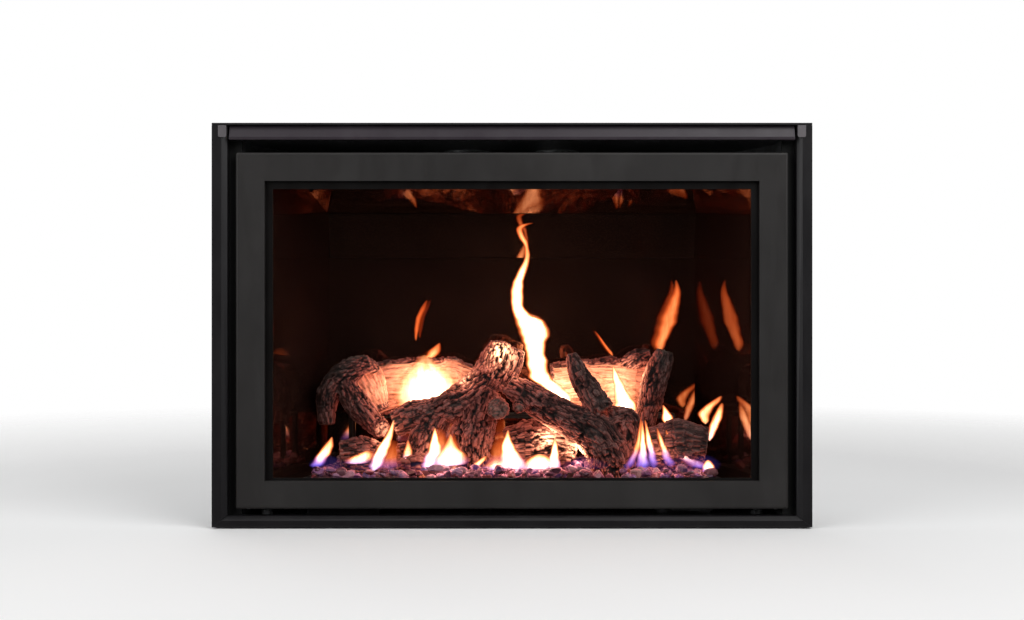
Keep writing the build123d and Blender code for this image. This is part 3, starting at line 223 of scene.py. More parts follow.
def galvanised():
    """Zinc-coated sheet: crystals a centimetre wide, drawing lines, dull patches, and a front edge blackened
    as painted shade of the recess behind the trim.
    """
    finish = Finish("galvanised_sheet", (0.5, 0.51, 0.52), 0.42, metal=0.85)
    tone = finish.mix(0.4, finish.cells(120.0, output="Color"), finish.cells(300.0, output="Color"))
    grey = finish.ramp(
        tone, (0.2, (0.3, 0.31, 0.32)), (0.5, (0.37, 0.38, 0.39)), (0.8, (0.45, 0.46, 0.47)),
    )
    dull = finish.noise(7.0, 5.0)
    grey = finish.mix(finish.span(dull, 0.4, 0.75, 0.0, 0.6), grey, (0.31, 0.312, 0.31))
    smear = finish.noise(16.0, 6.0, stretch=(1.0, 1.0, 0.3), bend=1.2)
    grey = finish.mix(finish.span(smear, 0.58, 0.78, 0.0, 0.35), grey, (0.22, 0.215, 0.205))
    rough = finish.span(tone, 0.1, 0.9, 0.42, 0.56)
    rough = finish.combine("ADD", rough, finish.span(smear, 0.5, 0.8, 0.0, 0.12))
    finish.bump(finish.noise(160.0, 3.0, stretch=(1.0, 1.0, 0.03)), 0.00006, 0.5)
    depth = finish.add("ShaderNodeSeparateXYZ")
    finish.feed(depth.inputs[0], finish.place)
    # Painted shade: the zinc turns black near the front, where the recess behind the trim lies in shade.
    edge = TRIM_FRONT + SHADE_BLACK_TO
    bare = finish.span(depth.outputs["Y"], edge - SHADE_BLACK_FADE, edge)
    finish.set("Base Color", finish.mix(bare, (0.003, 0.003, 0.003), grey))
    finish.set("Roughness", finish.combine("MAXIMUM", rough, finish.span(bare, 0.0, 1.0, 0.6, 0.0)))
    finish.set("Metallic", finish.span(bare, 0.0, 1.0, 0.0, 0.85))
    return finish.material


def bare_steel(name, colour, rough, heat=0.0):
    """Mill-finished or heat-blued steel, with rolling lines and stains."""
    finish = Finish(name, colour, rough, metal=0.9)
    darker = tuple(c * 0.6 for c in colour)
    stain = finish.noise(22.0, 6.0, bend=0.4)
    tone = finish.ramp(stain, (0.35, darker), (0.6, colour))
    if heat:
        tone = finish.mix(finish.span(stain, 0.5, 0.8, 0.0, heat), tone, (0.17, 0.1, 0.06))
    finish.set("Base Color", tone)
    lines = finish.noise(260.0, 4.0, stretch=(0.05, 1.0, 1.0))
    finish.set("Roughness", finish.span(lines, 0.3, 0.7, rough - 0.08, rough + 0.12))
    finish.bump(lines, 0.00005, 0.5)
    return finish.material


def cast_metal(name, colour, rough, metal, pits=420.0):
    """Sand or die cast metal: small pits and a dull skin."""
    finish = Finish(name, colour, rough, metal=metal)
    pitted = finish.noise(pits, 5.0)
    wear = finish.noise(45.0, 5.0)
    darker = tuple(c * 0.65 for c in colour)
    finish.set("Base Color", finish.ramp(wear, (0.35, darker), (0.65, colour)))
    finish.set("Roughness", finish.span(pitted, 0.3, 0.7, rough - 0.1, rough + 0.1))
    finish.bump(pitted, 0.00018, 0.6)
    return finish.material


def moulded_plastic(name, colour):
    """Moulded plastic with a spark-eroded grain."""
    rough = 0.45
    finish = Finish(name, colour, rough)
    grain = finish.noise(1500.0, 2.0)
    smudge = finish.noise(30.0, 4.0)
    lighter = tuple(c * 1.5 + 0.004 for c in colour)
    finish.set("Base Color", finish.ramp(smudge, (0.4, colour), (0.8, lighter)))
    finish.set("Roughness", finish.span(smudge, 0.3, 0.7, rough - 0.08, rough + 0.1))
    finish.bump(grain, 0.00005, 0.6)
    return finish.material


def reflective_panel():
    """Black glass liner: a mirror gloss with a faint haze of soot."""
    finish = Finish("black_panel_glass", (0.012, 0.0045, 0.003), 0.03, specular=0.5)
    finish.set("IOR", 2.8)
    finish.set("Specular Tint", (1.0, 0.55, 0.36, 1.0))
    haze = finish.noise(9.0, 6.0, bend=0.5)
    tone = finish.ramp(haze, (0.35, (0.012, 0.0048, 0.0034)), (0.8, (0.021, 0.0088, 0.0065)))
    finish.set("Base Color", tone)
    finish.set("Roughness", finish.span(haze, 0.35, 0.8, 0.02, 0.075))
    finish.bump(finish.noise(16.0, 2.0), 0.0004, 0.12)
    return finish.material


def door_glass():
    """Clear ceramic glass: it lets light through almost unbent, and mirrors a little."""
    finish = Finish("door_ceramic_glass", (0.9, 0.89, 0.875), 0.0)
    finish.set("Transmission Weight", 1.0)
    finish.set("IOR", 1.12)
    path = finish.add("ShaderNodeLightPath")
    clear = finish.add("ShaderNodeBsdfTransparent")
    clear.inputs["Color"].default_value = (0.9, 0.89, 0.88, 1.0)
    join = finish.add("ShaderNodeMixShader")
    finish.feed(join.inputs[0], path.outputs["Is Shadow Ray"])
    finish.feed(join.inputs[1], finish.shader.outputs["BSDF"])
    finish.feed(join.inputs[2], clear.outputs["BSDF"])
    finish.feed(finish.tree.nodes["Material Output"].inputs["Surface"], join.outputs["Shader"])
    return finish.material


def rope():
    """Braided fibreglass rope: small strands, graphite grey and sooty."""
    finish = Finish("rope_braid", (0.09, 0.088, 0.085), 0.9, specular=0.2)
    strands = finish.cells(520.0, stretch=(1.0, 1.0, 1.6))
    soot = finish.noise(60.0, 4.0)
    tone = finish.ramp(strands, (0.1, (0.13, 0.127, 0.12)), (0.6, (0.04, 0.039, 0.037)))
    finish.set("Base Color", finish.mix(finish.span(soot, 0.4, 0.75, 0.0, 0.7), tone, (0.03, 0.029, 0.028)))
    finish.bump(strands, 0.0006, 0.8)
    return finish.material


TRIM_BLACK = painted("trim_black_paint", (0.0105, 0.0096, 0.0108), 0.38, specular=0.28)
# The hood's paint is lighter than the trim's, partly its own colour and partly a painted highlight on its
# sloping face.
HOOD_PAINT_AND_HIGHLIGHT = painted("hood_paint_and_painted_highlight", (0.0275, 0.0205, 0.027), 0.36, specular=0.42)
CLIP_GREY = painted("clip_grey_paint", (0.115, 0.105, 0.112), 0.34, specular=0.5)
FACE_CHARCOAL = painted("face_charcoal_paint", (0.0225, 0.0206, 0.02), 0.46, specular=0.32, grain=0.00012)
FRAME_BLACK = painted("glass_frame_paint", (0.0045, 0.0035, 0.0034), 0.38, specular=0.22)
FIREBOX_BLACK = painted("firebox_stove_paint", (0.012, 0.011, 0.011), 0.6, specular=0.3, grain=0.0002)

FINISH_OF_SLOT = {
    "trim_metal": TRIM_BLACK,
    "clip_metal": CLIP_GREY,
    "face_metal": FACE_CHARCOAL,
    "frame_metal": FRAME_BLACK,
    "door_glass": door_glass(),
    "rope": rope(),
    "galvanised": galvanised(),
    "firebox_metal": FIREBOX_BLACK,
    "panel_glass": reflective_panel(),
    "burner_metal": bare_steel("burner_steel", (0.2, 0.19, 0.19), 0.45, heat=0.8),
    "raw_steel": bare_steel("raw_steel", (0.42, 0.42, 0.42), 0.38),
    "aluminium": bare_steel("rolled_aluminium", (0.66, 0.67, 0.68), 0.32),
    "cast_valve": cast_metal("die_cast_valve", (0.5, 0.5, 0.51), 0.42, 0.8),
    "brass": cast_metal("turned_brass", (0.62, 0.42, 0.16), 0.28, 1.0, pits=900.0),
    "black_plastic": moulded_plastic("black_plastic", (0.014, 0.014, 0.015)),
    "motor_steel": bare_steel("motor_steel", (0.3, 0.3, 0.31), 0.35),
}
FINISH_OF_NODE = {"trim_hood": HOOD_PAINT_AND_HIGHLIGHT, "log_rack": FIREBOX_BLACK}


def slot_of(node_name):
    """The record's material slot of a CAD node."""
    for sub in frame["record"]["subparts"]:
        if sub["node"] == node_name:
            return sub["material_slot"]
    return None


def soften(node, width):
    """A small rounded edge on a sheet or bar, as a brake press or a cutter leaves it."""
    weld = node.modifiers.new("weld", "WELD")
    weld.merge_threshold = 0.00001
    bevel = node.modifiers.new("edge", "BEVEL")
    bevel.width = width
    bevel.segments = 2
    bevel.limit_method = "ANGLE"
    bevel.angle_limit = math.radians(40)
    bevel.harden_normals = True


SOFT_EDGES = {
    "trim_left": 0.8, "trim_right": 0.8, "trim_top": 0.8, "trim_bottom": 0.8, "trim_hood": 0.6,
    "hood_clips": 0.8, "door_face": 0.5, "glass_frame": 0.4,
}


def finish_frame():
    """Gives every CAD node its finish, and the pieces in front softened edges."""
    for name, node in frame["nodes"].items():
        material = FINISH_OF_SLOT.get(slot_of(name), FIREBOX_BLACK)
        material = FINISH_OF_NODE.get(name, material)
        node.data.materials.clear()
        node.data.materials.append(material)
        if name in SOFT_EDGES:
            soften(node, SOFT_EDGES[name] * MM)


# ---------------------------------------------------------------- small fasteners and rolled beads

HEX_ACROSS = 8.0 * MM           # a sheet-metal screw's head, across its flats
HEX_HIGH = 3.6 * MM
WASHER_ACROSS = 11.0 * MM
WASHER_THICK = 0.9 * MM
WASHER_SIDES = 20
SCREW_STEP = 92.0 * MM
SCREW_SEED = 7
SHEET_REACH = 50.0 * MM         # how far in and out of its place a screw looks for its sheet
TOP_ROW_DOWN = 9.0 * MM         # the sides' upper row, from their top edge
FOOT_ROW_UP = 12.0 * MM         # the sides' lower row, from their foot
FRONT_CLEAR = 50.0 * MM         # where both rows begin, behind the trim's front
BEND_BEFORE = 20.0 * MM         # how far before the sides' bend they break off
BEND_AFTER = 30.0 * MM          # how far past the bend they go on
REAR_INSET = 12.0 * MM          # the upright rear row, along the slope from the back panel
TOP_ROW_CLEAR = 47.0 * MM       # how far before the rear row the upper row ends
FOOT_ROW_CLEAR = 30.0 * MM      # how far before the rear row the lower row ends
REAR_ROW_UP = 50.0 * MM         # the rear row's lower end, above the lower row
REAR_ROW_DOWN = 20.0 * MM       # the rear row's upper end, under the back panel's bevel
BACK_ROW_CLEAR = 30.0 * MM      # the back panel's rows, from its sides
RIDGE_SHARE = 0.75              # how far up the bevel its row lies
CASING_STRAIGHT = 120.0 * MM    # the sides run straight back this far, then slope in to the back panel
CASING_FLANGE = 32.0 * MM       # the sides' front flanges
CASING_BACK_HALF = 350.0 * MM
CASING_SHEETS = ("casing_left", "casing_right", "casing_back", "casing_top")
CASING_BEVEL_DOWN = 53.0 * MM   # the back panel's sloping top edge
CASING_BEVEL_IN = 40.0 * MM
BRACKET_IN = 440.6 * MM         # the corner brackets' inner edge, from the middle
BRACKET_DOWN = 30.0 * MM        # how far the corner brackets reach down behind the flanges
BRACKET_ARM = 45.0 * MM         # and in over the casing's top
BRACKET_GAP = 0.3 * MM
BRACKET_THICK = 1.5 * MM
BRACKET_EDGE = 2.0 * MM         # from the trim's outer edge
BRACKET_SCREW_IN = 12.0 * MM    # from a bracket's ends
BRACKET_SEED = 11
COLLAR_RADIUS = 38.0 * MM
COLLAR_DEPTH = 250.0 * MM
COLLAR_X = {"flue_duct": 80.0 * MM, "intake_duct": -80.0 * MM}
BEAD_DROPS = (7.0 * MM, 15.0 * MM)     # from the collar's rim down to each bead's middle
BEAD_ROUND = 1.6 * MM
BEAD_SUNK = 0.3 * MM
BEAD_STEPS = 8
BEAD_SIDES = 72


def stitched(rings, sides, first=0):
    """The faces between rings of corners, and over both ends; first is the number of corners before."""
    faces = []
    for ring in range(rings - 1):
        low, high = first + ring * sides, first + (ring + 1) * sides
        for side in range(sides):
            after = (side + 1) % sides
            faces.append((low + side, low + after, high + after, high + side))
    last = first + (rings - 1) * sides
    return faces + [tuple(reversed(range(first, first + sides))), tuple(range(last, last + sides))]


def lathe(profile, sides, place, way, turn=0.0):
    """Corners and faces of a turned form: (radius, height) pairs swept round way, from place."""
    way = Vector(way).normalized()
    aside = way.cross(Vector((0.31, 0.52, 0.79))).normalized()
    up = way.cross(aside)
    corners = []
    for radius, height in profile:
        for side in range(sides):
            angle = 2 * math.pi * side / sides + turn
            out = radius * (math.cos(angle) * aside + math.sin(angle) * up)
            corners.append(Vector(place) + way * height + out)
    return corners, stitched(len(profile), sides)


def new_object(name, corners, faces, material=None):
    """A mesh object in the scene."""
    mesh = bpy.data.meshes.new(name)
    mesh.from_pydata(corners, [], faces)
    if material is not None:
        mesh.materials.append(material)
    made = bpy.data.objects.new(name, mesh)
    scene.collection.objects.link(made)
    return made


def joined_piece(name, forms, material, body):
    """One object out of several corner-and-face forms, riding a body."""
    corners, faces = [], []
    for more, sides in forms:
        first = len(corners)
        corners += more
        faces += [tuple(first + i for i in side) for side in sides]
    piece = new_object(name, corners, faces, material)
    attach(piece, body)


def hex_screw(place, way, turn):
    """A washer-faced hexagon head, standing on place."""
    wide, head = WASHER_ACROSS / 2, HEX_ACROSS / 2 / math.cos(math.pi / 6)
    disc = [(wide, -0.2 * MM), (wide, WASHER_THICK * 0.6), (wide * 0.9, WASHER_THICK)]
    top = WASHER_THICK + HEX_HIGH
    profile = [
        (head, WASHER_THICK - 0.1 * MM), (head, top - 0.5 * MM), (head * 0.88, top),
        (head * 0.5, top), (head * 0.42, top - 0.5 * MM),
    ]
    return [lathe(disc, WASHER_SIDES, place, way), lathe(profile, 6, place, way, turn)]


def sheet_under(spot, way, sheets):
    """Where a line from outside, against way, meets the first of the sheets."""
    met = [tree.ray_cast(spot + way * SHEET_REACH, -way, 2 * SHEET_REACH) for tree in sheets]
    met = [(gap, place) for place, _, _, gap in met if place is not None]
    return min(met, key=lambda pair: pair[0])[1] if met else None


def screw_row(start, end, way, rng, sheets):
    """Evenly spaced screws from start to end, each seated on the sheet under it."""
    start, end, way = Vector(start), Vector(end), Vector(way)
    count = max(1, round((end - start).length / SCREW_STEP))
    forms = []
    for index in range(count + 1):
        turn = rng.uniform(0, math.pi / 3)
        seat = sheet_under(start.lerp(end, index / count), way, sheets)
        if seat is not None:
            forms += hex_screw(seat, way, turn)
    return forms


def add_casing_screws():
    """The screws that hold the casing's sheets: along the sides' edges, the back's and the top's."""
    rng = random.Random(SCREW_SEED)
    graph = bpy.context.evaluated_depsgraph_get()
    sheets = [BVHTree.FromObject(frame["nodes"][name], graph) for name in CASING_SHEETS]
    low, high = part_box("casing_right")
    half, back_half, back = high[0] - CASING_FLANGE, CASING_BACK_HALF, high[1]
    bend = TRIM_FRONT + CASING_STRAIGHT
    slope = Vector((back_half - half, back - bend, 0)).normalized()
    face = Vector((slope.y, -slope.x, 0))
    top, foot, bevel = high[2] - TOP_ROW_DOWN, low[2] + FOOT_ROW_UP, high[2] - CASING_BEVEL_DOWN
    near = Vector((half, bend, 0)) + slope * BEND_AFTER
    far = Vector((back_half, back, 0)) - slope * REAR_INSET
    rows = []
    for height, clear in ((top, TOP_ROW_CLEAR), (foot, FOOT_ROW_CLEAR)):
        front_end = (half, TRIM_FRONT + FRONT_CLEAR, height)
        rows.append(((half, bend - BEND_BEFORE, height), front_end, (1, 0, 0)))
        rows.append(((near.x, near.y, height), (far.x, far.y - clear, height), face))
    rows.append(((far.x, far.y, foot + REAR_ROW_UP), (far.x, far.y, bevel - REAR_ROW_DOWN), face))
    forms = []
    for sign in (-1, 1):
        for row in rows:
            forms += screw_row(*[Vector((sign * x, y, z)) for x, y, z in row], rng, sheets)
    end = back_half - BACK_ROW_CLEAR
    rise = Vector((0, CASING_BEVEL_DOWN, CASING_BEVEL_IN)).normalized()
    ridge = (back - CASING_BEVEL_IN * RIDGE_SHARE, high[2] - CASING_BEVEL_DOWN * (1 - RIDGE_SHARE))
    for spot, way in (((back, foot), (0, 1, 0)), (ridge, rise)):
        forms += screw_row((-end, *spot), (end, *spot), way, rng, sheets)
    joined_piece("casing_screws", forms, FINISH_OF_SLOT["raw_steel"], "insert")


def add_corner_brackets():
    """Black plates that tie the trim's upper corners to the casing, and close the gap behind the clips."""
    rng = random.Random(BRACKET_SEED)
    trim_low, trim_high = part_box("trim_left")
    outer, high = -trim_low[0] - BRACKET_EDGE, trim_high[2]
    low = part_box("casing_left")[1][2] - BRACKET_DOWN
    above_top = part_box("casing_top")[1][2] + BRACKET_GAP
    front = trim_high[1] + BRACKET_GAP
    back = front + BRACKET_THICK
    faces = [(0, 1, 3, 2), (4, 6, 7, 5), (0, 4, 5, 1), (2, 3, 7, 6), (0, 2, 6, 4), (1, 5, 7, 3)]
    plates = ((BRACKET_IN, outer, low), (BRACKET_IN - BRACKET_ARM, BRACKET_IN, above_top))
    forms = []
    for sign in (-1, 1):
        for near, far, foot in plates:
            corners = [
                Vector((sign * x, y, z)) for y in (front, back) for z in (foot, high) for x in (near, far)
            ]
            forms.append((corners, faces if sign > 0 else [side[::-1] for side in faces]))
        for height in (low + BRACKET_SCREW_IN, high - BRACKET_SCREW_IN):
            spot = ((BRACKET_IN + outer) / 2 * sign, back, height)
            forms += hex_screw(spot, (0, 1, 0), rng.uniform(0, math.pi / 3))
    joined_piece("trim_corner_brackets", forms, FIREBOX_BLACK, "insert")


def add_collar_beads():
    """The rolled beads that a vent pipe's end snaps over, round each collar."""
    ring = []
    for step in range(BEAD_STEPS + 1):
        angle = math.pi * (step / BEAD_STEPS - 0.5)
        out = COLLAR_RADIUS - BEAD_SUNK + BEAD_ROUND * math.cos(angle)
        ring.append((out, BEAD_ROUND * math.sin(angle)))
    last = BEAD_STEPS * BEAD_SIDES
    inside = []
    for side in range(BEAD_SIDES):
        after = (side + 1) % BEAD_SIDES
        inside.append((last + side, last + after, after, side))
    for name, across in COLLAR_X.items():
        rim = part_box(name)[1][2]
        forms = []
        for drop in BEAD_DROPS:
            place = (across, TRIM_FRONT + COLLAR_DEPTH, rim - drop)
            corners, faces = lathe(ring, BEAD_SIDES, place, (0, 0, 1))
            forms.append((corners, faces[:-2] + inside))
        joined_piece(f"{name}_beads", forms, FINISH_OF_SLOT["galvanised"], "insert")


# ---------------------------------------------------------------- the log set

DECK_TOP = 72.0                 # mm: the burner pan's top, which the logs and stones stand on
LOG_VOXEL = 1.6 * MM
LIMB_SIDES = 28
RIDGE_OF_RADIUS = 0.11          # the bark's ridges: this share of the limb's radius, and this much more
RIDGE_LEAST = 2.2 * MM
BARK_LEVEL = 0.8                # the bark's height, from 0 to 1, that lies on the limb's bare form
FIBRE_HIGH = 0.9 * MM
GRIT_HIGH = 1.1 * MM
GRAIN_HIGH = 1.3 * MM           # on split wood
GRAIN_SUNK = 0.4 * MM
SPLINTER_HIGH = 2.2 * MM        # on broken ends
EQUALLY_NEAR = 1e-4             # in radii: of two stretches as near as this, the first holds a spot

# Each log's limbs as the photograph shows them: the axis' column and row in its pixels, the depth
# behind the trim's front in mm, and the radius in mm.
LIMBS = {
    "log_rear_left": [
        [
            (354, 391, 251, 42), (380, 388, 251, 48), (420, 386, 251, 50), (455, 387, 251, 49),
            (480, 391, 251, 42),
        ],
    ],
    "log_rear_right": [
        [(553, 390, 251, 44), (585, 387, 251, 49), (620, 386, 251, 48), (655, 388, 251, 40)],
        [(622, 372, 240, 20), (637, 360, 236, 19), (650, 356, 236, 13)],
    ],
    "log_ember": [
        [(506, 446, 150, 31), (530, 443, 152, 38), (556, 444, 150, 37), (576, 450, 150, 28)],
    ],
    "log_front_stubs": [
        [(341, 459, 108, 29), (360, 458, 110, 34), (379, 459, 112, 30)],
        [(398, 461, 112, 26), (414, 460, 112, 29), (428, 461, 112, 26)],
        [(650, 447, 112, 34), (678, 444, 110, 40), (705, 448, 108, 34)],
    ],
    "log_branch_left": [
        [
            (327, 424, 168, 13), (327, 404, 170, 18), (335, 384, 172, 22), (352, 372, 172, 23),
            (370, 367, 178, 18),
        ],
        [
            (343, 373, 170, 17), (347, 387, 166, 20), (357, 404, 160, 22), (372, 421, 150, 18),
            (384, 433, 146, 15),
        ],
        [(357, 363, 184, 21), (365, 375, 186, 28), (374, 391, 184, 24), (383, 409, 180, 12)],
        [(380, 424, 150, 14), (381, 428, 134, 15), (382, 430, 120, 13)],
    ],
    "log_fork_centre": [
        [
            (500, 342, 140, 17), (497, 356, 140, 27), (488, 376, 138, 29), (468, 396, 134, 30),
            (440, 410, 130, 27), (412, 418, 128, 25), (394, 424, 126, 19),
        ],
        [(484, 390, 138, 28), (477, 415, 134, 34), (470, 440, 132, 37), (467, 476, 132, 40)],
        [(440, 414, 128, 23), (428, 434, 122, 27), (421, 454, 118, 29), (419, 476, 118, 29)],
        [(519, 350, 142, 10), (511, 368, 140, 18), (500, 390, 138, 24)],
        [(495, 408, 126, 19), (498, 409, 106, 19), (498, 409, 88, 17)],
    ],
    "log_cross_centre": [
        [
            (509, 384, 116, 17), (526, 394, 114, 23), (552, 411, 112, 27), (580, 425, 110, 31),
            (601, 440, 108, 34), (610, 457, 108, 35), (613, 477, 108, 34),
        ],
        [(571, 354, 128, 9), (577, 370, 124, 15), (589, 391, 120, 21), (602, 411, 114, 24)],
        [(608, 420, 122, 22), (624, 419, 124, 21), (632, 440, 124, 22), (630, 476, 124, 24)],
        [(519, 406, 104, 12), (519, 408, 92, 9), (519, 408, 84, 7)],
    ],
    "log_upright_right": [
        [
            (664, 351, 184, 16), (660, 366, 184, 21), (654, 388, 183, 22), (648, 408, 182, 20),
            (641, 440, 182, 18), (636, 476, 182, 22),
        ],
    ],
}
# The limb that is split, how far out its face lies in radii, and which way it looks.
SPLIT_FACES = {
    "log_rear_left": (0, 0.6, (0.0, -1.0, 0.12)),
    "log_rear_right": (0, 0.6, (0.0, -1.0, 0.12)),
    "log_branch_left": (2, 0.3, (0.4, -1.0, 0.15)),
}


def smooth_line(stations, steps=6):
    """Rows of numbers, with rows on a smooth curve between them."""
    rows = [np.array(s, dtype=float) for s in stations]
    rows = [2 * rows[0] - rows[1]] + rows + [2 * rows[-1] - rows[-2]]
    curve = []
    for a, b, c, d in zip(rows, rows[1:], rows[2:], rows[3:]):
        for k in range(steps):
            t = k / steps
            curve.append(0.5 * (2 * b + (c - a) * t + (2 * a - 5 * b + 4 * c - d) * t ** 2
                                + (3 * b - a - 3 * c + d) * t ** 3))
    curve.append(rows[-2])
    return curve


class Limb:
    """One limb's axis, with what places a point of the bark along it and round it."""

    def __init__(self, stations):
        line = smooth_line(stations, 4)
        self.points = [np.array(seen_at(column, row, depth * MM)) for column, row, depth, _ in line]
        self.radii = [radius * MM for *_, radius in line]
        steps = [np.linalg.norm(b - a) for a, b in zip(self.points, self.points[1:])]
        self.starts = np.concatenate([[0.0], np.cumsum(steps)])
        self.length = self.starts[-1]

    def tube(self, first, seed):
        """Corners and faces of the limb's bare, lumpy form; first is the number of corners before it."""
        corners = []
        for index, (centre, radius) in enumerate(zip(self.points, self.radii)):
            before, after = self.points[max(index - 1, 0)], self.points[min(index + 1, len(self.points) - 1)]
            way = Vector(after - before).normalized()
            aside = way.cross(Vector((0.3, 1.0, 0.2))).normalized()
            up = way.cross(aside)
            for side in range(LIMB_SIDES):
                angle = 2 * math.pi * side / LIMB_SIDES
                out = math.cos(angle) * aside + math.sin(angle) * up
                spot = Vector(centre) * 24.0 + out * 0.9 + Vector((seed, 2.0 * seed, 0.0))
                swell = 1.0 + 0.2 * noise.noise(spot) + 0.1 * noise.noise(spot * 2.7)
                corners.append(Vector(centre) + out * radius * swell)
        return corners, stitched(len(self.points), LIMB_SIDES, first)

    def lie(self, spots):
        """For each spot: its place along the limb, its distance out in radii, its radius, axis and offset."""
        count = len(spots)
        best = np.full(count, np.inf)
        along, radius = np.zeros(count), np.zeros(count)
        axis, offset = np.zeros((count, 3)), np.zeros((count, 3))
        for index, (a, b) in enumerate(zip(self.points, self.points[1:])):
            run = b - a
            size = np.linalg.norm(run)
            share = np.clip((spots - a) @ run / size ** 2, 0.0, 1.0)
            nearest = a + share[:, None] * run
            out = np.linalg.norm(spots - nearest, axis=1)
            r = self.radii[index] + share * (self.radii[index + 1] - self.radii[index])
            closer = out / r < best - EQUALLY_NEAR
            best[closer] = (out / r)[closer]
            along[closer] = (self.starts[index] + share * size)[closer]
            radius[closer] = r[closer]
            axis[closer] = run / size
            offset[closer] = (spots - nearest)[closer]
        return along, best, radius, axis, offset


def lumpy_form(limbs, seed):
    """The limbs grown together into one even skin of small faces."""
    corners, faces = [], []
    for index, limb in enumerate(limbs):
        more, sides = limb.tube(len(corners), seed + 0.37 * index)
        corners += more
        faces += sides
    scratch = new_object("scratch", corners, faces)
    skin = scratch.modifiers.new("skin", "REMESH")
    skin.mode = "VOXEL"
    skin.voxel_size = LOG_VOXEL
    even = scratch.modifiers.new("even", "SMOOTH")
    even.factor = 0.5
    even.iterations = 8
    bpy.context.view_layer.update()
    mesh = bpy.data.meshes.new_from_object(scratch.evaluated_get(bpy.context.evaluated_depsgraph_get()))
    bpy.data.objects.remove(scratch)
    return mesh


def coordinates(mesh):
    flat = np.empty(3 * len(mesh.vertices))
    mesh.vertices.foreach_get("co", flat)
    return flat.reshape(-1, 3)


def normals(mesh):
    flat = np.empty(3 * len(mesh.vertices))
    mesh.vertex_normals.foreach_get("vector", flat)
    return flat.reshape(-1, 3)


def store(mesh, **columns):
    """Numbers at each vertex, for the material to read."""
    for name, values in columns.items():
        column = mesh.attributes.new(name, "FLOAT", "POINT")
        column.data.foreach_set("value", np.asarray(values, dtype=np.float32))


def smoothstep(value, low, high):
    t = np.clip((value - low) / (high - low), 0.0, 1.0)
    return t * t * (3 - 2 * t)


def bark_relief(along, side_a, side_b, seed):
    """Height of the bark from 0, in a furrow, to 1, on a ridge; a finer fibre relief; and a coarse grit."""
    ridges, plates, fibres, grit = (np.zeros(len(along)) for _ in range(4))
    shift = Vector((7.3 * seed, 3.1 * seed, 5.7 * seed))
    for i, (u, a, b) in enumerate(zip(along, side_a, side_b)):
        spot = Vector((u / 0.032, a / 0.0105, b / 0.0105)) + shift
        spot += 1.1 * noise.noise_vector(spot * 0.45)
        ridges[i] = 0.6 * abs(noise.noise(spot)) + 0.4 * abs(noise.noise(spot * 2.4 + shift))
        spot = Vector((u / 0.0135, a / 0.0068, b / 0.0068)) + shift
        spot += 0.8 * noise.noise_vector(spot * 0.6)
        near = noise.voronoi(spot)[0]
        plates[i] = near[1] - near[0]
        fibre = Vector((u / 0.014, a / 0.0021, b / 0.0021)) + shift
        fibres[i] = noise.noise(fibre) + 0.5 * noise.noise(fibre * 2.1)
        grain = Vector((u, a, b)) / 0.0034 + shift
        grit[i] = noise.noise(grain) + 0.6 * noise.noise(grain * 0.45)
    return 0.55 * smoothstep(ridges, 0.0, 0.3) + 0.45 * smoothstep(plates, 0.0, 0.26), fibres, grit


def wood_grain(along, side_a, side_b, seed):
    """The relief of split wood: long fibres, coarse and fine."""
    shift = Vector((seed, 0, 0))
    return np.array([
        noise.noise(Vector((u / 0.05, b / 0.0035, a / 0.0035)) + shift)
        + 0.6 * noise.noise(Vector((u / 0.03, b / 0.0013, a / 0.0013)) + shift)
        for u, a, b in zip(along, side_a, side_b)
    ])


def lay_on_split_face(spots, offset, radius, far_out, lean, inner):
    """Pushes the spots beyond the split face back onto it; returns how far each is part of it, 0 to 1."""
    lean = np.array(Vector(lean).normalized())
    level = (offset @ lean) / radius
    uneven = np.array([noise.noise(Vector(p) * 26.0) for p in spots])
    split = smoothstep(level, far_out - 0.12, far_out + 0.02)
    split *= inner
    push = np.maximum(0.0, level - far_out + 0.07 * uneven) * radius
    spots -= push[:, None] * lean * (split > 0)[:, None]
    return split


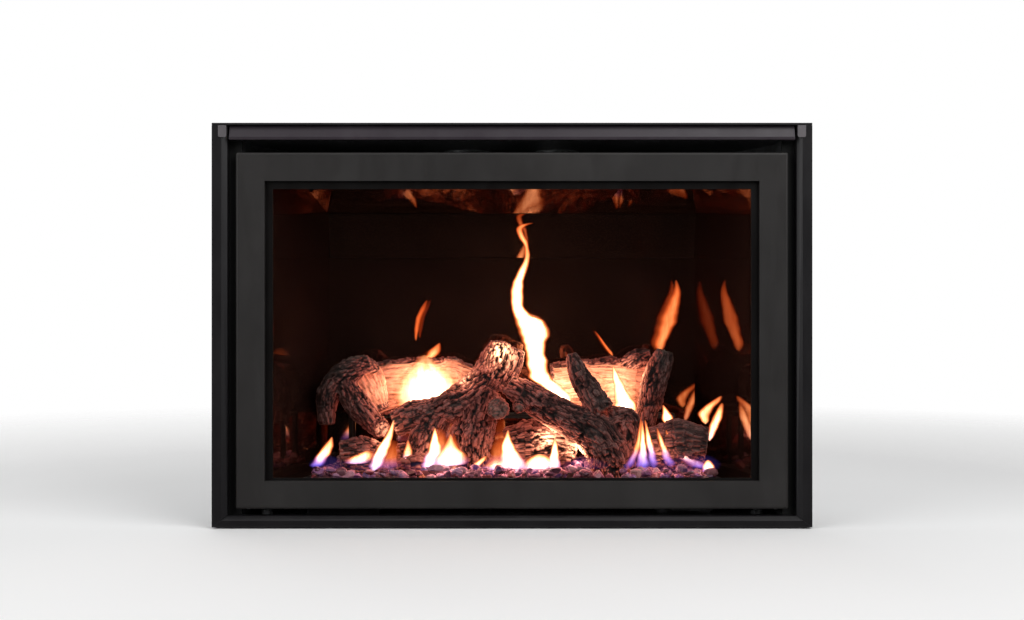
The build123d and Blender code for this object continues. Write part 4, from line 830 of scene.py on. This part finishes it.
def make_log(node_name, seed):
    """A fired-clay log in the place of its CAD node: furrowed bark, split faces, broken ends, and the fire's
    light painted on as glow.
    """
    limbs = [Limb(stations) for stations in LIMBS[node_name]]
    mesh = lumpy_form(limbs, seed)
    spots, out = coordinates(mesh), normals(mesh)
    lies = [limb.lie(spots) for limb in limbs]
    owner = np.argmin(np.stack([lie[1] for lie in lies]), axis=0)
    along, _, radius, axis, offset = (
        np.choose(owner if part[0].ndim == 1 else owner[:, None], part) for part in zip(*lies)
    )
    length = np.choose(owner, [limb.length for limb in limbs])
    across = np.cross(axis, [0.25, 1.0, 0.15])
    across /= np.maximum(np.linalg.norm(across, axis=1), 1e-6)[:, None]
    side_a = (offset * across).sum(1) + 0.5 * owner
    side_b = (offset * np.cross(axis, across)).sum(1)

    at_end = np.minimum(along, length - along)
    cut = smoothstep(np.abs((out * axis).sum(1)), 0.6, 0.85) * smoothstep(-at_end, -0.012, -0.002)
    split = np.zeros(len(spots))
    if node_name in SPLIT_FACES:
        limb, far_out, lean = SPLIT_FACES[node_name]
        inner = smoothstep(at_end, 0.006, 0.016) * (owner == limb)
        split = lay_on_split_face(spots, offset, radius, far_out, lean, inner)

    heights, fibres, grit = bark_relief(along, side_a, side_b, seed)
    ridge = RIDGE_OF_RADIUS * radius + RIDGE_LEAST
    grain = wood_grain(along, side_a, side_b, seed)
    relief = (heights - BARK_LEVEL) * ridge + FIBRE_HIGH * fibres + GRIT_HIGH * grit
    relief = relief * (1 - split) + (GRAIN_HIGH * grain - GRAIN_SUNK) * split
    splinters = SPLINTER_HIGH * np.clip(fibres, -1, 1) + SPLINTER_HIGH * grit
    relief = relief * (1 - cut) + splinters * cut
    spots += relief[:, None] * out
    mesh.vertices.foreach_set("co", spots.ravel())
    mesh.update()
    # Painted light: the flames' light on the log is painted on as emission, dimmed in the bark's furrows as
    # painted shade.
    painted_furrow_shade = smoothstep(np.maximum(heights + 0.2 * grit, split), 0.1, 0.9)
    store(
        mesh,
        bark_height=np.clip(heights + 0.25 * fibres + 0.25 * grit, 0, 1),
        grain=np.clip(0.5 + 0.5 * grain, 0, 1),
        split_wood=split,
        cut_end=cut,
        grit=np.clip(0.5 + 0.5 * grit, 0, 1),
        heat_glow=painted_firelight_at(spots, normals(mesh)) * (0.15 + 0.85 * painted_furrow_shade),
    )
    mesh.shade_smooth()
    mesh.materials.clear()
    mesh.materials.append(BARK)
    log = bpy.data.objects.new(node_name.replace("log_", "bark_log_"), mesh)
    scene.collection.objects.link(log)
    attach(log, "insert")
    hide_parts(node_name)
    return log


SIDE_LIT = 0.2                  # how much of a flame's painted light reaches a spot that faces sideways to it


def painted_firelight_at(spots, out):
    """Painted firelight: how strongly the fire lights each spot, worked out from the flames near it and which
    way it faces.
    """
    total = np.zeros(len(spots))
    for centre, reach, power in PAINTED_LIGHT_SPOTS:
        toward = np.array(centre) - spots
        gap = np.linalg.norm(toward, axis=1)
        facing = (toward * out).sum(1) / np.maximum(gap, 1e-6)
        total += power * np.clip(SIDE_LIT + (1 - SIDE_LIT) * facing, 0, 1) / (1 + (gap / reach) ** 2) ** 2
    return total


def bark_finish():
    """Fired clay painted as burnt wood: furrows darkened nearly to black, partly painted shade; grey-brown
    ridges, tan split wood, broken ends; the fire's light painted on as emission.
    """
    finish = Finish("burnt_log_bark", (0.05, 0.04, 0.036), 0.88, specular=0.25)
    height = finish.attribute("bark_height")
    speck = finish.noise(420.0, 5.0)
    patch = finish.noise(28.0, 5.0, bend=0.5)
    # Darker towards the furrows, nearly black: partly the bark's own colour, partly painted shade.
    ridges = finish.ramp(
        finish.weighed(height, 0.7, speck, 0.4),
        (0.3, (0.0012, 0.0007, 0.0007)), (0.55, (0.008, 0.0042, 0.0038)),
        (0.78, (0.03, 0.0165, 0.0148)), (1.0, (0.108, 0.068, 0.061)),
    )
    burnt = finish.mix(finish.span(patch, 0.3, 0.5, 0.55, 0.0), ridges, (0.006, 0.004, 0.0036))
    ashy = finish.mix(finish.span(patch, 0.55, 0.8, 0.0, 0.3), burnt, (0.12, 0.1, 0.092))
    wood = finish.ramp(
        finish.weighed(finish.attribute("grain"), 0.75, speck, 0.25),
        (0.25, (0.07, 0.032, 0.018)), (0.5, (0.3, 0.17, 0.1)), (0.75, (0.48, 0.31, 0.2)),
    )
    wood = finish.mix(finish.span(patch, 0.42, 0.72, 0.0, 0.55), wood, (0.1, 0.05, 0.032))
    tone = finish.mix(finish.attribute("split_wood"), ashy, wood)
    broken = finish.ramp(
        finish.weighed(finish.attribute("grit"), 0.7, speck, 0.3),
        (0.25, (0.007, 0.0045, 0.004)), (0.75, (0.085, 0.062, 0.052)),
    )
    tone = finish.mix(finish.attribute("cut_end"), tone, broken)
    finish.set("Base Color", tone)
    # Painted firelight: emission in a lit, warm copy of the bark's colour, paler on the ridges as a painted
    # highlight.
    heat = finish.attribute("heat_glow")
    painted_lit_share = finish.span(height, 0.35, 0.95, 0.0, 0.5)
    painted_lit_share = finish.combine("ADD", painted_lit_share, finish.span(heat, 0.4, 1.7, 0.0, 0.5))
    painted_lit_colour = finish.mix(painted_lit_share, tone, (0.5, 0.4, 0.34))
    firelight_tint = finish.ramp(
        heat, (0.03, (1.0, 0.16, 0.12)), (0.35, (1.0, 0.31, 0.2)), (1.0, (1.0, 0.6, 0.38)),
    )
    finish.set("Emission Color", finish.mix(1.0, painted_lit_colour, firelight_tint, kind="MULTIPLY"))
    finish.set("Emission Strength", finish.times(heat, 8.0))
    finish.set("Roughness", finish.span(speck, 0.3, 0.7, 0.78, 0.97))
    finish.bump(finish.noise(480.0, 6.0, rough=0.7), 0.0011, 0.85)
    return finish.material


# ---------------------------------------------------------------- the bed of glass stones

STONE_COUNT = 800               # tried; those that meet a log are left out
STONE_SEED = 41
STONE_SIZES = (14.0, 26.0)      # mm
STONE_LAYER = 5.0               # mm: how much higher each layer lies
STONE_SEAT = 0.28               # how high a stone's middle lies over the deck, of its size
STONE_CLEAR = 0.62              # how far its middle stays from the logs, of its size
STONE_FLATS = 11
STONE_EDGE = 0.13               # how wide a stone's edges with a painted highlight are, of its size
BED_FRONT = 60.0                # mm behind the trim's front
BED_REAR = 282.0
BED_HALF_FRONT = 330.0
BED_HALF_REAR = 292.0


def stone_shape(rng, size):
    """Corners, faces and edge sharpness of one crushed stone: a lump with flats knocked off it."""
    lump = bmesh.new()
    bmesh.ops.create_icosphere(lump, subdivisions=3, radius=0.5 * size)
    squash = Vector((rng.uniform(0.8, 1.25), rng.uniform(0.75, 1.1), rng.uniform(0.5, 0.75)))
    flats = []
    for _ in range(STONE_FLATS):
        way = Vector((rng.gauss(0, 1), rng.gauss(0, 1), rng.gauss(0, 1))).normalized()
        flats.append((way, size * rng.uniform(0.29, 0.44)))
    turn = rng.uniform(0, 2 * math.pi)
    sharp = []
    for corner in lump.verts:
        spot = corner.co
        for way, reach in flats:
            over = spot.dot(way) - reach
            if over > 0:
                spot = spot - over * way
        inside = sorted(abs(reach - spot.dot(way)) for way, reach in flats)
        edge = STONE_EDGE * size
        sharp.append(max(0.0, 1.0 - inside[1] / edge, min(1.0, inside[0] / edge)))
        spot = Vector(a * b for a, b in zip(spot, squash))
        corner.co = Vector((
            spot.x * math.cos(turn) - spot.y * math.sin(turn),
            spot.x * math.sin(turn) + spot.y * math.cos(turn),
            spot.z,
        ))
    corners = [v.co.copy() for v in lump.verts]
    faces = [[v.index for v in f.verts] for f in lump.faces]
    lump.free()
    return corners, faces, sharp


def make_stones(logs):
    """Crushed glass over the whole bed, thickest in front, clear of the logs' feet."""
    trees = [BVHTree.FromObject(log, bpy.context.evaluated_depsgraph_get()) for log in logs]
    corners, faces, tints, edges = [], [], [], []
    for index in range(STONE_COUNT):
        rng = random.Random(STONE_SEED + index)
        back = rng.random() ** 1.5
        depth = BED_FRONT + (BED_REAR - BED_FRONT) * back
        half = BED_HALF_FRONT + (BED_HALF_REAR - BED_HALF_FRONT) * back
        size = rng.uniform(*STONE_SIZES) * MM
        layer = rng.choice((0, 0, 1, 1, 2))
        spot = Vector((
            rng.uniform(-half, half) * MM,
            TRIM_FRONT + depth * MM,
            DECK_TOP * MM + size * STONE_SEAT + layer * STONE_LAYER * MM,
        ))
        if any((tree.find_nearest(spot, size * STONE_CLEAR)[0]) is not None for tree in trees):
            continue
        shape, sides, sharp = stone_shape(rng, size)
        first = len(corners)
        corners += [spot + c for c in shape]
        faces += [[first + i for i in f] for f in sides]
        tints += [rng.random()] * len(shape)
        edges += sharp
    bed = new_object("glass_stone_bed", corners, faces, stone_finish())
    # Painted firelight on the stones, brightest on their edges as a painted highlight.
    heat = painted_firelight_at(coordinates(bed.data), normals(bed.data))
    store(bed.data, stone_tint=tints, stone_edge=edges, heat_glow=heat)
    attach(bed, "insert")
    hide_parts("fire_stones")


def stone_finish():
    """Crushed glass in wine red, amber, smoke and violet, with painted firelight and painted highlights on
    its edges.
    """
    finish = Finish("crushed_fire_glass", (0.08, 0.03, 0.035), 0.12, specular=0.45)
    tint = finish.attribute("stone_tint")
    tone = finish.ramp(
        tint, (0.0, (0.012, 0.007, 0.03)), (0.2, (0.09, 0.012, 0.016)), (0.45, (0.2, 0.045, 0.038)),
        (0.62, (0.035, 0.018, 0.09)), (0.8, (0.27, 0.12, 0.12)), (1.0, (0.03, 0.008, 0.018)),
    )
    vein = finish.noise(160.0, 4.0, bend=1.0)
    finish.set("Base Color", finish.mix(finish.span(vein, 0.5, 0.7, 0.0, 0.4), tone, (0.16, 0.06, 0.06)))
    finish.set("Roughness", finish.span(vein, 0.3, 0.7, 0.06, 0.24))
    # Painted highlight: the stones' edges glow pink near the flames.
    edge = finish.times(finish.attribute("stone_edge"), finish.span(vein, 0.35, 0.6, 0.25, 1.0))
    glow = finish.mix(edge, finish.mix(0.5, (0.13, 0.03, 0.11), tone), (1.0, 0.27, 0.27))
    finish.set("Emission Color", glow)
    strength = finish.times(finish.attribute("heat_glow"), finish.span(edge, 0.0, 1.0, 0.9, 6.5))
    finish.set("Emission Strength", strength)
    finish.bump(finish.noise(300.0, 3.0), 0.0003, 0.4)
    return finish.material


# ---------------------------------------------------------------- flames

# Each flame as the photograph shows it: how far behind the trim's front it stands, in metres; its heat,
# blue root and softness; and from root to tip (row, left column, right column) in the photograph's pixels.
FLAMES = {
    "main": (0.185, 1.15, 0.0, 0.8, [
        (404, 562, 580), (395, 550, 573), (386, 538, 562), (379, 530, 554), (372, 527, 550),
        (360, 525, 547), (347, 523, 546), (340, 520, 548), (333, 518, 551), (327, 516, 549),
        (320, 514, 545), (316, 513, 534), (309, 511, 526), (300, 510, 524), (287, 511, 524),
        (278, 514, 525), (270, 518, 528), (261, 523, 530), (253, 525, 530), (246, 525, 528),
    ]),
    "main_tip": (0.186, 0.42, 0.0, 1.0, [
        (260, 524, 530), (251, 525, 530), (243, 522, 528), (236, 518, 525), (229, 516, 523),
        (225, 519, 529), (223, 528, 535),
    ]),
    "left_glow": (0.194, 1.1, 0.0, 1.9, [
        (414, 404, 452), (406, 394, 462), (396, 390, 466), (385, 393, 463), (374, 401, 455),
        (365, 410, 442), (355, 418, 431),
    ]),
    "left_core": (0.185, 1.1, 0.0, 1.1, [
        (406, 412, 440), (397, 402, 448), (386, 403, 444), (374, 410, 436), (361, 421, 427),
    ]),
    "left_tip": (0.304, 0.5, 0.0, 1.0, [
        (362, 420, 432), (356, 425, 437), (350, 429, 441), (343, 438, 441),
    ]),
    "left_wisp": (0.25, 0.24, 0.0, 1.2, [
        (341, 415, 417), (331, 414, 419), (318, 416, 422), (308, 420, 426), (300, 426, 428),
    ]),
    "right_tongue": (0.194, 1.1, 0.0, 0.9, [
        (413, 612, 641), (405, 612, 638), (396, 613, 631), (386, 613, 625), (375, 612, 619),
        (366, 612, 614),
    ]),
    "right_wisp": (0.27, 0.36, 0.0, 1.2, [
        (352, 655, 663), (338, 655, 670), (322, 659, 677), (304, 667, 681), (290, 673, 681),
        (280, 675, 677),
    ]),
    "thin_wisp": (0.27, 0.3, 0.0, 1.0, [
        (356, 611, 615), (348, 605, 609), (340, 600, 603), (331, 594, 596),
    ]),
    "teardrop": (0.16, 0.9, 0.0, 0.9, [(426, 665, 672), (419, 661, 674), (412, 662, 670), (405, 662, 664)]),
    "corner_low": (0.12, 0.7, 0.1, 1.2, [
        (441, 707, 712), (431, 707, 717), (420, 711, 722), (410, 716, 724), (403, 720, 724),
    ]),
    "corner_high": (0.13, 0.6, 0.0, 1.2, [
        (424, 702, 710), (415, 698, 710), (408, 702, 715), (401, 711, 721), (396, 719, 723),
    ]),
    "front_1": (0.08, 0.85, 1.0, 0.9, [
        (468, 309, 322), (460, 313, 328), (452, 318, 332), (445, 324, 334), (437, 331, 333),
    ]),
    "front_2": (0.085, 0.8, 0.5, 1.0, [(464, 343, 368), (459, 345, 376), (454, 355, 376), (450, 364, 373)]),
    "front_3": (0.08, 1.05, 0.5, 0.9, [
        (471, 368, 379), (461, 370, 386), (452, 374, 389), (442, 381, 392), (432, 387, 394),
        (420, 393, 395),
    ]),
    "front_4": (0.09, 0.75, 0.5, 1.2, [(464, 401, 416), (455, 402, 414), (448, 405, 412), (440, 407, 409)]),
    "front_5": (0.08, 1.05, 0.5, 0.9, [
        (471, 420, 433), (458, 423, 440), (450, 427, 443), (441, 430, 440), (434, 432, 438),
        (428, 434, 436),
    ]),
    "front_6": (0.085, 1.0, 0.4, 1.0, [
        (466, 430, 468), (459, 430, 472), (453, 436, 466), (446, 443, 458), (434, 449, 452),
    ]),
    "curl": (0.078, 0.7, 0.6, 1.0, [(471, 470, 477), (465, 472, 481), (460, 478, 486), (456, 484, 488)]),
    "front_7": (0.08, 1.1, 0.4, 0.9, [
        (472, 494, 526), (462, 497, 528), (453, 499, 520), (444, 501, 514), (437, 504, 511),
        (430, 507, 509),
    ]),
    "front_8": (0.085, 1.0, 0.4, 1.1, [(469, 516, 556), (464, 520, 560), (459, 526, 555), (454, 534, 546)]),
    "front_9": (0.08, 1.0, 0.4, 0.9, [
        (472, 546, 561), (460, 548, 561), (452, 550, 559), (445, 552, 558), (438, 554, 556),
    ]),
    "front_low": (0.09, 0.8, 0.6, 1.5, [(470, 478, 512), (464, 484, 516), (458, 490, 514)]),
    "veil_1": (0.088, 0.3, 0.3, 2.2, [(471, 484, 508), (458, 487, 510), (446, 491, 509), (432, 497, 508)]),
    "veil_2": (0.088, 0.34, 0.2, 2.0, [(456, 426, 454), (446, 430, 450), (438, 432, 448), (428, 435, 444)]),
    "veil_3": (0.089, 0.22, 0.0, 2.0, [(458, 446, 462), (450, 449, 461), (442, 451, 458), (433, 452, 455)]),
    "veil_4": (0.09, 0.3, 0.4, 2.2, [(468, 372, 404), (460, 378, 404), (450, 384, 402), (440, 388, 398)]),
    "strand_0": (0.082, 0.5, 1.0, 1.2, [
        (470, 620, 632), (458, 629, 638), (444, 635, 641), (430, 638, 642), (418, 640, 642),
    ]),
    "strand_1": (0.075, 0.85, 0.9, 0.9, [
        (470, 634, 650), (455, 637, 648), (444, 639, 646), (433, 640, 645), (421, 641, 643),
    ]),
    "strand_2": (0.08, 0.7, 0.9, 1.0, [
        (468, 648, 661), (452, 647, 656), (440, 645, 652), (430, 645, 649), (420, 644, 646),
    ]),
    "strand_3": (0.075, 0.6, 0.9, 1.2, [
        (467, 664, 677), (455, 661, 671), (445, 659, 666), (436, 657, 662), (428, 656, 658),
    ]),
    "strand_4": (0.08, 0.65, 0.9, 1.2, [
        (469, 694, 716), (463, 684, 706), (455, 674, 689), (446, 669, 678), (437, 666, 671),
        (430, 665, 667),
    ]),
    "bead": (0.075, 1.0, 0.8, 0.9, [(473, 701, 714), (466, 702, 714), (460, 705, 711)]),
}
BLUE_PATCHES = (             # low blue flames over the stones: left column, right column, base row, top row
    (308, 345, 470, 455), (345, 400, 470, 458), (400, 470, 470, 459), (470, 540, 470, 457),
    (560, 610, 469, 457), (626, 662, 469, 450), (655, 716, 472, 453), (690, 720, 470, 455),
)
FLAME_SIDES = 16
FLAME_THICKNESS = 0.42          # of a flame's width
FLAME_LICK = 0.35               # how far its edges wander, of its width
FLAME_LICK_MOST = 4.0           # and at most, in pixels
LICK_ROWS = 7.0                 # how many rows a wave of its edge takes, in pixels
FLAME_ROOT = 0.08               # of its height: where its root is full width
FLAME_ROOT_LEAST = 0.12         # of its full width: how wide it starts
FLAME_TIP = 0.3                 # of its last row's width
BLUE_LOOK = (0.07, 0.0, 3.0, 4.0)      # the blue flames' depth, heat, blue root and softness
BLUE_ROOT_IN = 4                # pixels that their root draws in at each side
BLUE_TIP_HALF = 6               # pixels


def make_flame(name, depth, heat, blue, soft, stations):
    """A closed flame, lens-shaped in section, with rounded root and pointed tip."""
    curve = smooth_line(stations)
    corners, across, rise = [], [], []
    count = len(curve)
    for index, (row, left, right) in enumerate(curve):
        share = index / (count - 1)
        lick = min(FLAME_LICK * (right - left), FLAME_LICK_MOST) * (1 - share)
        left += lick * noise.noise(Vector((row / LICK_ROWS, depth * 50, 0.0)))
        right += lick * noise.noise(Vector((row / LICK_ROWS, depth * 50, 4.0)))
        close = math.sqrt(min(1.0, share / FLAME_ROOT))
        centre = seen_at((left + right) / 2, row, depth)
        width = abs(seen_at(right, row, depth).x - seen_at(left, row, depth).x)
        half = 0.5 * width * max(close, FLAME_ROOT_LEAST)
        if index == count - 1:
            half *= FLAME_TIP
        for side in range(FLAME_SIDES):
            angle = 2 * math.pi * side / FLAME_SIDES
            thick = FLAME_THICKNESS * half * math.sin(angle)
            corners.append(centre + Vector((half * math.cos(angle), thick, 0)))
            across.append(abs(math.sin(angle)))
            rise.append(share)
    flame = new_object("flame_" + name, corners, stitched(count, FLAME_SIDES), FLAME)
    spread = np.ones(len(corners))
    store(
        flame.data, across=across, rise=rise,
        flame_heat=heat * spread, blue_root=blue * spread, softness=soft * spread,
    )
    flame.data.shade_smooth()
    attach(flame, "insert")


def flame_finish():
    """Burning gas: white heart, yellow to orange body, thin red rim and blue root, all light and clear."""
    finish = Finish("burning_gas", (0.0, 0.0, 0.0), 1.0, specular=0.0)
    across, rise = finish.attribute("across"), finish.attribute("rise")
    heat, blue = finish.attribute("flame_heat"), finish.attribute("blue_root")
    streak = finish.noise(90.0, 3.0, stretch=(1.0, 1.0, 0.14), bend=0.4)
    round_body = finish.times(across, across)
    body = finish.times(round_body, finish.span(streak, 0.25, 0.75, 0.65, 1.15))
    body = finish.times(body, finish.span(rise, 0.5, 1.0, 1.0, 0.4))
    hot = finish.times(body, heat)
    tone = finish.ramp(
        hot, (0.0, (1.0, 0.07, 0.012)), (0.2, (1.0, 0.17, 0.035)), (0.42, (1.0, 0.36, 0.13)),
        (0.7, (1.0, 0.58, 0.32)), (1.0, (1.0, 0.78, 0.55)),
    )
    power = finish.times(finish.combine("POWER", hot, 1.5), 9.0)
    power = finish.combine("ADD", power, 0.35)
    root = finish.times(finish.span(rise, 0.06, 0.42, 1.0, 0.0), blue)
    root = finish.combine("MAXIMUM", root, finish.span(blue, 2.0, 3.0), clamp=True)
    tone = finish.mix(root, tone, (0.2, 0.13, 1.0))
    power = finish.times(power, finish.span(root, 0.0, 1.0, 1.0, 0.2))
    power = finish.combine("ADD", power, finish.span(root, 0.0, 1.0, 0.0, 0.25))
    finish.set("Emission Color", tone)
    finish.set("Emission Strength", power)
    firm = finish.combine("DIVIDE", round_body, finish.attribute("softness"), clamp=True)
    clear = finish.times(firm, finish.span(rise, 0.7, 1.0, 1.0, 0.25))
    clear = finish.times(clear, finish.span(rise, 0.0, 0.12, 0.2, 1.0))
    clear = finish.times(clear, finish.span(root, 0.0, 1.0, 0.95, 0.4))
    finish.set("Alpha", clear)
    return finish.material


# Spots of painted firelight, where the fire lights the logs most, as the photograph shows it: column and row
# in its pixels, depth behind the trim's front in metres, reach in metres, power.
PAINTED_FIRELIGHT_SPOTS = (
    (425, 385, 0.195, 0.075, 1.5), (398, 384, 0.15, 0.045, 1.8), (448, 380, 0.17, 0.04, 1.1),
    (462, 376, 0.112, 0.03, 1.3), (562, 388, 0.185, 0.07, 1.3), (530, 352, 0.15, 0.05, 1.9),
    (508, 352, 0.092, 0.036, 3.2), (502, 340, 0.09, 0.03, 3.0), (612, 385, 0.185, 0.06, 1.0),
    (634, 372, 0.185, 0.045, 0.8), (586, 448, 0.11, 0.032, 1.8), (560, 440, 0.1, 0.022, 0.5),
    (384, 430, 0.098, 0.022, 2.6), (300, 470, 0.1, 0.03, 0.3), (440, 466, 0.062, 0.045, 0.7),
    (510, 462, 0.062, 0.045, 0.9), (372, 374, 0.115, 0.022, 0.4), (660, 455, 0.07, 0.045, 0.4),
    (577, 452, 0.098, 0.022, 3.4), (546, 438, 0.1, 0.028, 2.2), (612, 470, 0.08, 0.022, 1.6),
)
PAINTED_LIGHT_BEFORE = 4.0 * MM          # how far before a flame its painted light is centred
PAINTED_LIGHT_REACH = 30.0 * MM
PAINTED_LIGHT_POWER = 0.4                # of a flame's heat
PAINTED_LIGHT_FULL_WIDTH = 40.0 * MM     # a narrower flame paints less light


def painted_light_spots():
    """Where the flames' painted light falls on what is near them: centre, reach and power."""
    spots = [(seen_at(column, row, depth), reach, power) for column, row, depth, reach, power in PAINTED_FIRELIGHT_SPOTS]
    for depth, heat, _, _, stations in FLAMES.values():
        for row, left, right in stations[::2]:
            centre = seen_at((left + right) / 2, row, depth - PAINTED_LIGHT_BEFORE)
            width = seen_at(right, row, depth).x - seen_at(left, row, depth).x
            spots.append((centre, PAINTED_LIGHT_REACH, PAINTED_LIGHT_POWER * heat * min(1.0, width / PAINTED_LIGHT_FULL_WIDTH)))
    return spots


PAINTED_LIGHT_SPOTS = painted_light_spots()
BARK = bark_finish()
FLAME = flame_finish()


def make_fire():
    """The log set, its stones and its flames."""
    logs = [make_log(name, seed) for seed, name in enumerate(LIMBS)]
    make_stones(logs)
    for name, (depth, heat, blue, soft, stations) in FLAMES.items():
        make_flame(name, depth, heat, blue, soft, stations)
    for index, (left, right, base, top) in enumerate(BLUE_PATCHES):
        middle = (left + right) / 2
        stations = [
            (base, left + BLUE_ROOT_IN, right - BLUE_ROOT_IN), ((base + top) / 2, left, right),
            (top, middle - BLUE_TIP_HALF, middle + BLUE_TIP_HALF),
        ]
        make_flame(f"blue_{index}", *BLUE_LOOK, stations)


# ---------------------------------------------------------------- floor, lamps and surroundings

FLOOR_HALF = 60.0
FLOOR_FADE = (1.2, 2.6)         # the floor fades into the background between these distances
FLAG_Y = -3.2                   # the upright flag's place before the object
FLAG_HALF = 6.0
FLAG_HIGH = 4.0
LYING_HALF = 2.0
LYING_HIGH = 2.0 * MM
LYING_END = TRIM_FRONT - 4.0 * MM
AMBIENT = 0.3                   # the strength of the light from all round
LAMP_SIDE = 2.8
LAMP_TARGET = Vector((0.0, 0.0, 0.3))
LAMPS = {                       # place and watts
    "key_softbox": ((1.9, -2.4, 2.3), 72.0),
    "fill_softbox": ((-2.4, -2.2, 1.7), 42.0),
    "top_softbox": ((0.0, -0.6, 2.9), 14.0),
    "back_softbox": ((-1.2, 2.8, 2.0), 26.0),
}


def rectangle(a, b, c, d):
    """The corners of a rectangle from (a, b) to (c, d)."""
    return (a, b), (c, b), (c, d), (a, d)


def add_floor():
    """A plain pale floor that keeps the object's shadow."""
    finish = Finish("pale_floor", (0.93, 0.93, 0.93), 0.9, specular=0.1)
    cloud = finish.noise(0.8, 3.0)
    finish.set("Base Color", finish.ramp(cloud, (0.3, (0.92, 0.92, 0.92)), (0.7, (0.95, 0.95, 0.95))))
    far = finish.add("ShaderNodeVectorMath", operation="LENGTH")
    finish.feed(far.inputs[0], finish.place)
    finish.set("Alpha", finish.span(far.outputs["Value"], *FLOOR_FADE, 1.0, 0.0))
    corners = [(x, y, 0) for x, y in rectangle(-FLOOR_HALF, -FLOOR_HALF, FLOOR_HALF, FLOOR_HALF)]
    new_object("studio_floor", corners, [(0, 1, 2, 3)], finish.material)


def add_world():
    """Plain grey light from all round, and a white background for what is seen directly or mirrored."""
    world = bpy.data.worlds.new("studio_world")
    world.use_nodes = True
    tree = world.node_tree
    background = tree.nodes["Background"]
    path = tree.nodes.new("ShaderNodeLightPath")
    seen = path.outputs["Is Camera Ray"]
    for name in ("Is Glossy Ray", "Is Transmission Ray"):
        either = tree.nodes.new("ShaderNodeMath")
        either.operation = "MAXIMUM"
        tree.links.new(seen, either.inputs[0])
        tree.links.new(path.outputs[name], either.inputs[1])
        seen = either.outputs["Value"]
    level = tree.nodes.new("ShaderNodeMapRange")
    level.inputs["To Min"].default_value = AMBIENT
    level.inputs["To Max"].default_value = 1.0
    tree.links.new(seen, level.inputs["Value"])
    tree.links.new(level.outputs["Result"], background.inputs["Strength"])
    background.inputs["Color"].default_value = (1.0, 1.0, 1.0, 1.0)
    scene.world = world


def add_flags():
    """Black cloth that only mirrors see, because the photograph's glass mirrors a dark room."""
    cloth = Finish("black_flag_cloth", (0.006, 0.006, 0.006), 1.0, specular=0.0)
    weave = cloth.noise(40.0)
    cloth.set("Base Color", cloth.ramp(weave, (0.3, (0.004, 0.004, 0.004)), (0.7, (0.008, 0.008, 0.008))))
    path = cloth.add("ShaderNodeLightPath")
    cloth.set("Alpha", cloth.combine("MINIMUM", path.outputs["Glossy Depth"], 1.0))
    upright = [(x, FLAG_Y, z) for x, z in rectangle(-FLAG_HALF, 0.0, FLAG_HALF, FLAG_HIGH)]
    lying = [(x, y, LYING_HIGH) for x, y in rectangle(-LYING_HALF, FLAG_Y, LYING_HALF, LYING_END)]
    for name, corners in (("upright_flag", upright), ("lying_flag", lying)):
        flag = new_object(name, corners, [(0, 1, 2, 3)], cloth.material)
        flag.visible_camera = False
        flag.visible_diffuse = False
        flag.visible_shadow = False


def add_lamps():
    """Square studio lamps with wide soft faces, all turned to the object."""
    for name, (place, watts) in LAMPS.items():
        data = bpy.data.lights.new(name, "AREA")
        data.shape = "SQUARE"
        data.size = LAMP_SIDE
        data.energy = watts
        lamp = bpy.data.objects.new(name, data)
        lamp.location = place
        aim = LAMP_TARGET - Vector(place)
        lamp.rotation_euler = aim.to_track_quat("-Z", "Y").to_euler()
        scene.collection.objects.link(lamp)


scene.view_settings.view_transform = "Standard"
add_camera()
add_floor()
add_world()
add_lamps()
add_flags()
finish_frame()
add_casing_screws()
add_corner_brackets()
add_collar_beads()
make_fire()
